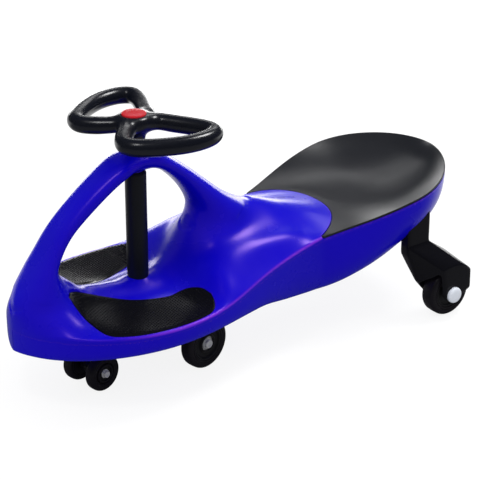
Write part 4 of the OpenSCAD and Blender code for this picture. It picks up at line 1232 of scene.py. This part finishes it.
class StageOperator(bpy.types.Operator):
    """Set up the pale floor, the soft lights, the white surroundings and the camera"""

    bl_idname = "wiggle_car.stage"
    bl_label = "Stage"

    def execute(self, context):
        stage = context.scene.wiggle_car.stage
        self.floor(stage)
        self.surroundings(stage)
        self.lamp("Key", (1.1, 0.5, 2.3), (0.0, 0.0, 0.15), (0.45, 0.45), stage.key_power)
        self.lamp("Back", (-1.2, 0.1, 2.2), (0.0, 0.0, 0.2), (0.75, 0.75), stage.key_power * 3.4)
        self.lamp("Backdrop", (-1.16, -1.62, 0.32), (0.0, 0.0, 0.2), (2.8, 0.5), stage.backdrop_power)
        self.lamp("Strip", (-1.1, -1.3, 1.5), (-0.2, 0.0, 0.2), (1.4, 0.3), stage.key_power * 0.5)
        data = bpy.data.cameras.new("Camera")
        data.lens = stage.lens
        data.sensor_width = 36
        camera = bpy.data.objects.new("Camera", data)
        camera.location = CAMERA_PLACE
        camera.rotation_euler = (math.radians(CAMERA_TILT), 0, math.radians(CAMERA_HEADING))
        context.scene.collection.objects.link(camera)
        context.scene.camera = camera
        context.scene.view_settings.view_transform = "Standard"
        return {"FINISHED"}

    def lamp(self, name, place, target, size, power):
        """A soft light that the camera can't see."""
        data = bpy.data.lights.new(name, "AREA")
        data.shape = "ELLIPSE"
        data.size, data.size_y = size
        data.energy = power
        light = bpy.data.objects.new(name, data)
        light.visible_camera = False
        light.location = place
        light.rotation_euler = (Vector(target) - Vector(place)).to_track_quat("-Z", "Y").to_euler()
        bpy.context.scene.collection.objects.link(light)

    def rays(self, tree):
        """1 for rays that show the background in gloss or through glass, and 1 for the camera's own rays."""
        path = add_node(tree, "ShaderNodeLightPath")
        gloss = maths(tree, "MAXIMUM", path["Is Glossy Ray"], path["Is Transmission Ray"])
        return gloss, path["Is Camera Ray"]

    def behind(self, tree, place, low, high):
        """How far a place or a direction lies towards the backdrop, from 0 to 1."""
        away = add_node(tree, "ShaderNodeVectorMath", {0: place, 1: BACKDROP}, operation="DOT_PRODUCT")
        return ranged(tree, away["Value"], low, high, interpolation_type="SMOOTHSTEP")

    def floor(self, stage):
        """A pale floor that shows in gloss on the side of the backdrop only."""
        half = stage.floor_width / 2 / MM
        corners = [(-half, -half, 0), (half, -half, 0), (half, half, 0), (-half, half, 0)]
        floor = piece("floor", corners, [(0, 1, 2, 3)])
        made = bpy.data.materials.new("Pale floor")
        made.use_nodes = True
        tree = made.node_tree
        tree.nodes.clear()
        gloss, seen = self.rays(tree)
        far = self.behind(tree, add_node(tree, "ShaderNodeNewGeometry")["Position"], 0.0, 0.5)
        shown = blend(tree, gloss, stage.floor_light, far)
        matt = add_node(tree, "ShaderNodeBsdfDiffuse", {"Color": (0.15, 0.15, 0.15, 1)})
        glow = add_node(tree, "ShaderNodeEmission", {"Strength": blend(tree, seen, shown, stage.floor_glow)})
        total = add_node(tree, "ShaderNodeAddShader", {0: matt["BSDF"], 1: glow["Emission"]})
        add_node(tree, "ShaderNodeOutputMaterial", {"Surface": total["Shader"]})
        floor.data.materials.append(made)

    def surroundings(self, stage):
        """White all round to the eye, and for gloss white on the side of the backdrop only."""
        world = bpy.data.worlds.new("White studio")
        world.use_nodes = True
        tree = world.node_tree
        gloss, seen = self.rays(tree)
        far = self.behind(tree, add_node(tree, "ShaderNodeTexCoord")["Generated"], 0.74, 0.95)
        shown = blend(tree, gloss, stage.room_light, blend(tree, far, stage.dark_side, 1.0))
        fill(tree.nodes["Background"], {"Color": (1, 1, 1, 1), "Strength": blend(tree, seen, shown, 1.0)})
        bpy.context.scene.world = world


class WiggleCarPanel(bpy.types.Panel):
    """Lists the settings and the pieces of the wiggle car"""

    bl_label = "Wiggle car"
    bl_idname = "VIEW3D_PT_wiggle_car"
    bl_space_type = "VIEW_3D"
    bl_region_type = "UI"
    bl_category = "Wiggle car"

    def draw(self, context):
        car = context.scene.wiggle_car
        for group in (car.sizes, car.colours, car.stage):
            box = self.layout.box()
            for key in group.__annotations__:
                box.prop(group, key)
        for operator in OPERATORS:
            self.layout.operator(operator.bl_idname)


OPERATORS = (
    UpperShellOperator, LowerShellOperator, SeatOperator, FootrestsOperator, SteeringWheelOperator,
    ColumnOperator, YokeOperator, DriveWheelsOperator, FrontRollersOperator, RearWheelsOperator,
    RearBracketsOperator, StageOperator,
)
CLASSES = (WiggleCarSizes, WiggleCarColours, WiggleCarStage, WiggleCar) + OPERATORS + (WiggleCarPanel,)


def register():
    for made in CLASSES:
        bpy.utils.register_class(made)
    bpy.types.Scene.wiggle_car = PointerProperty(type=WiggleCar)


def unregister():
    del bpy.types.Scene.wiggle_car
    for made in reversed(CLASSES):
        bpy.utils.unregister_class(made)


def main():
    register()
    for operator in OPERATORS:
        category, name = operator.bl_idname.split(".")
        getattr(getattr(bpy.ops, category), name)()


if __name__ == "__main__":
    main()
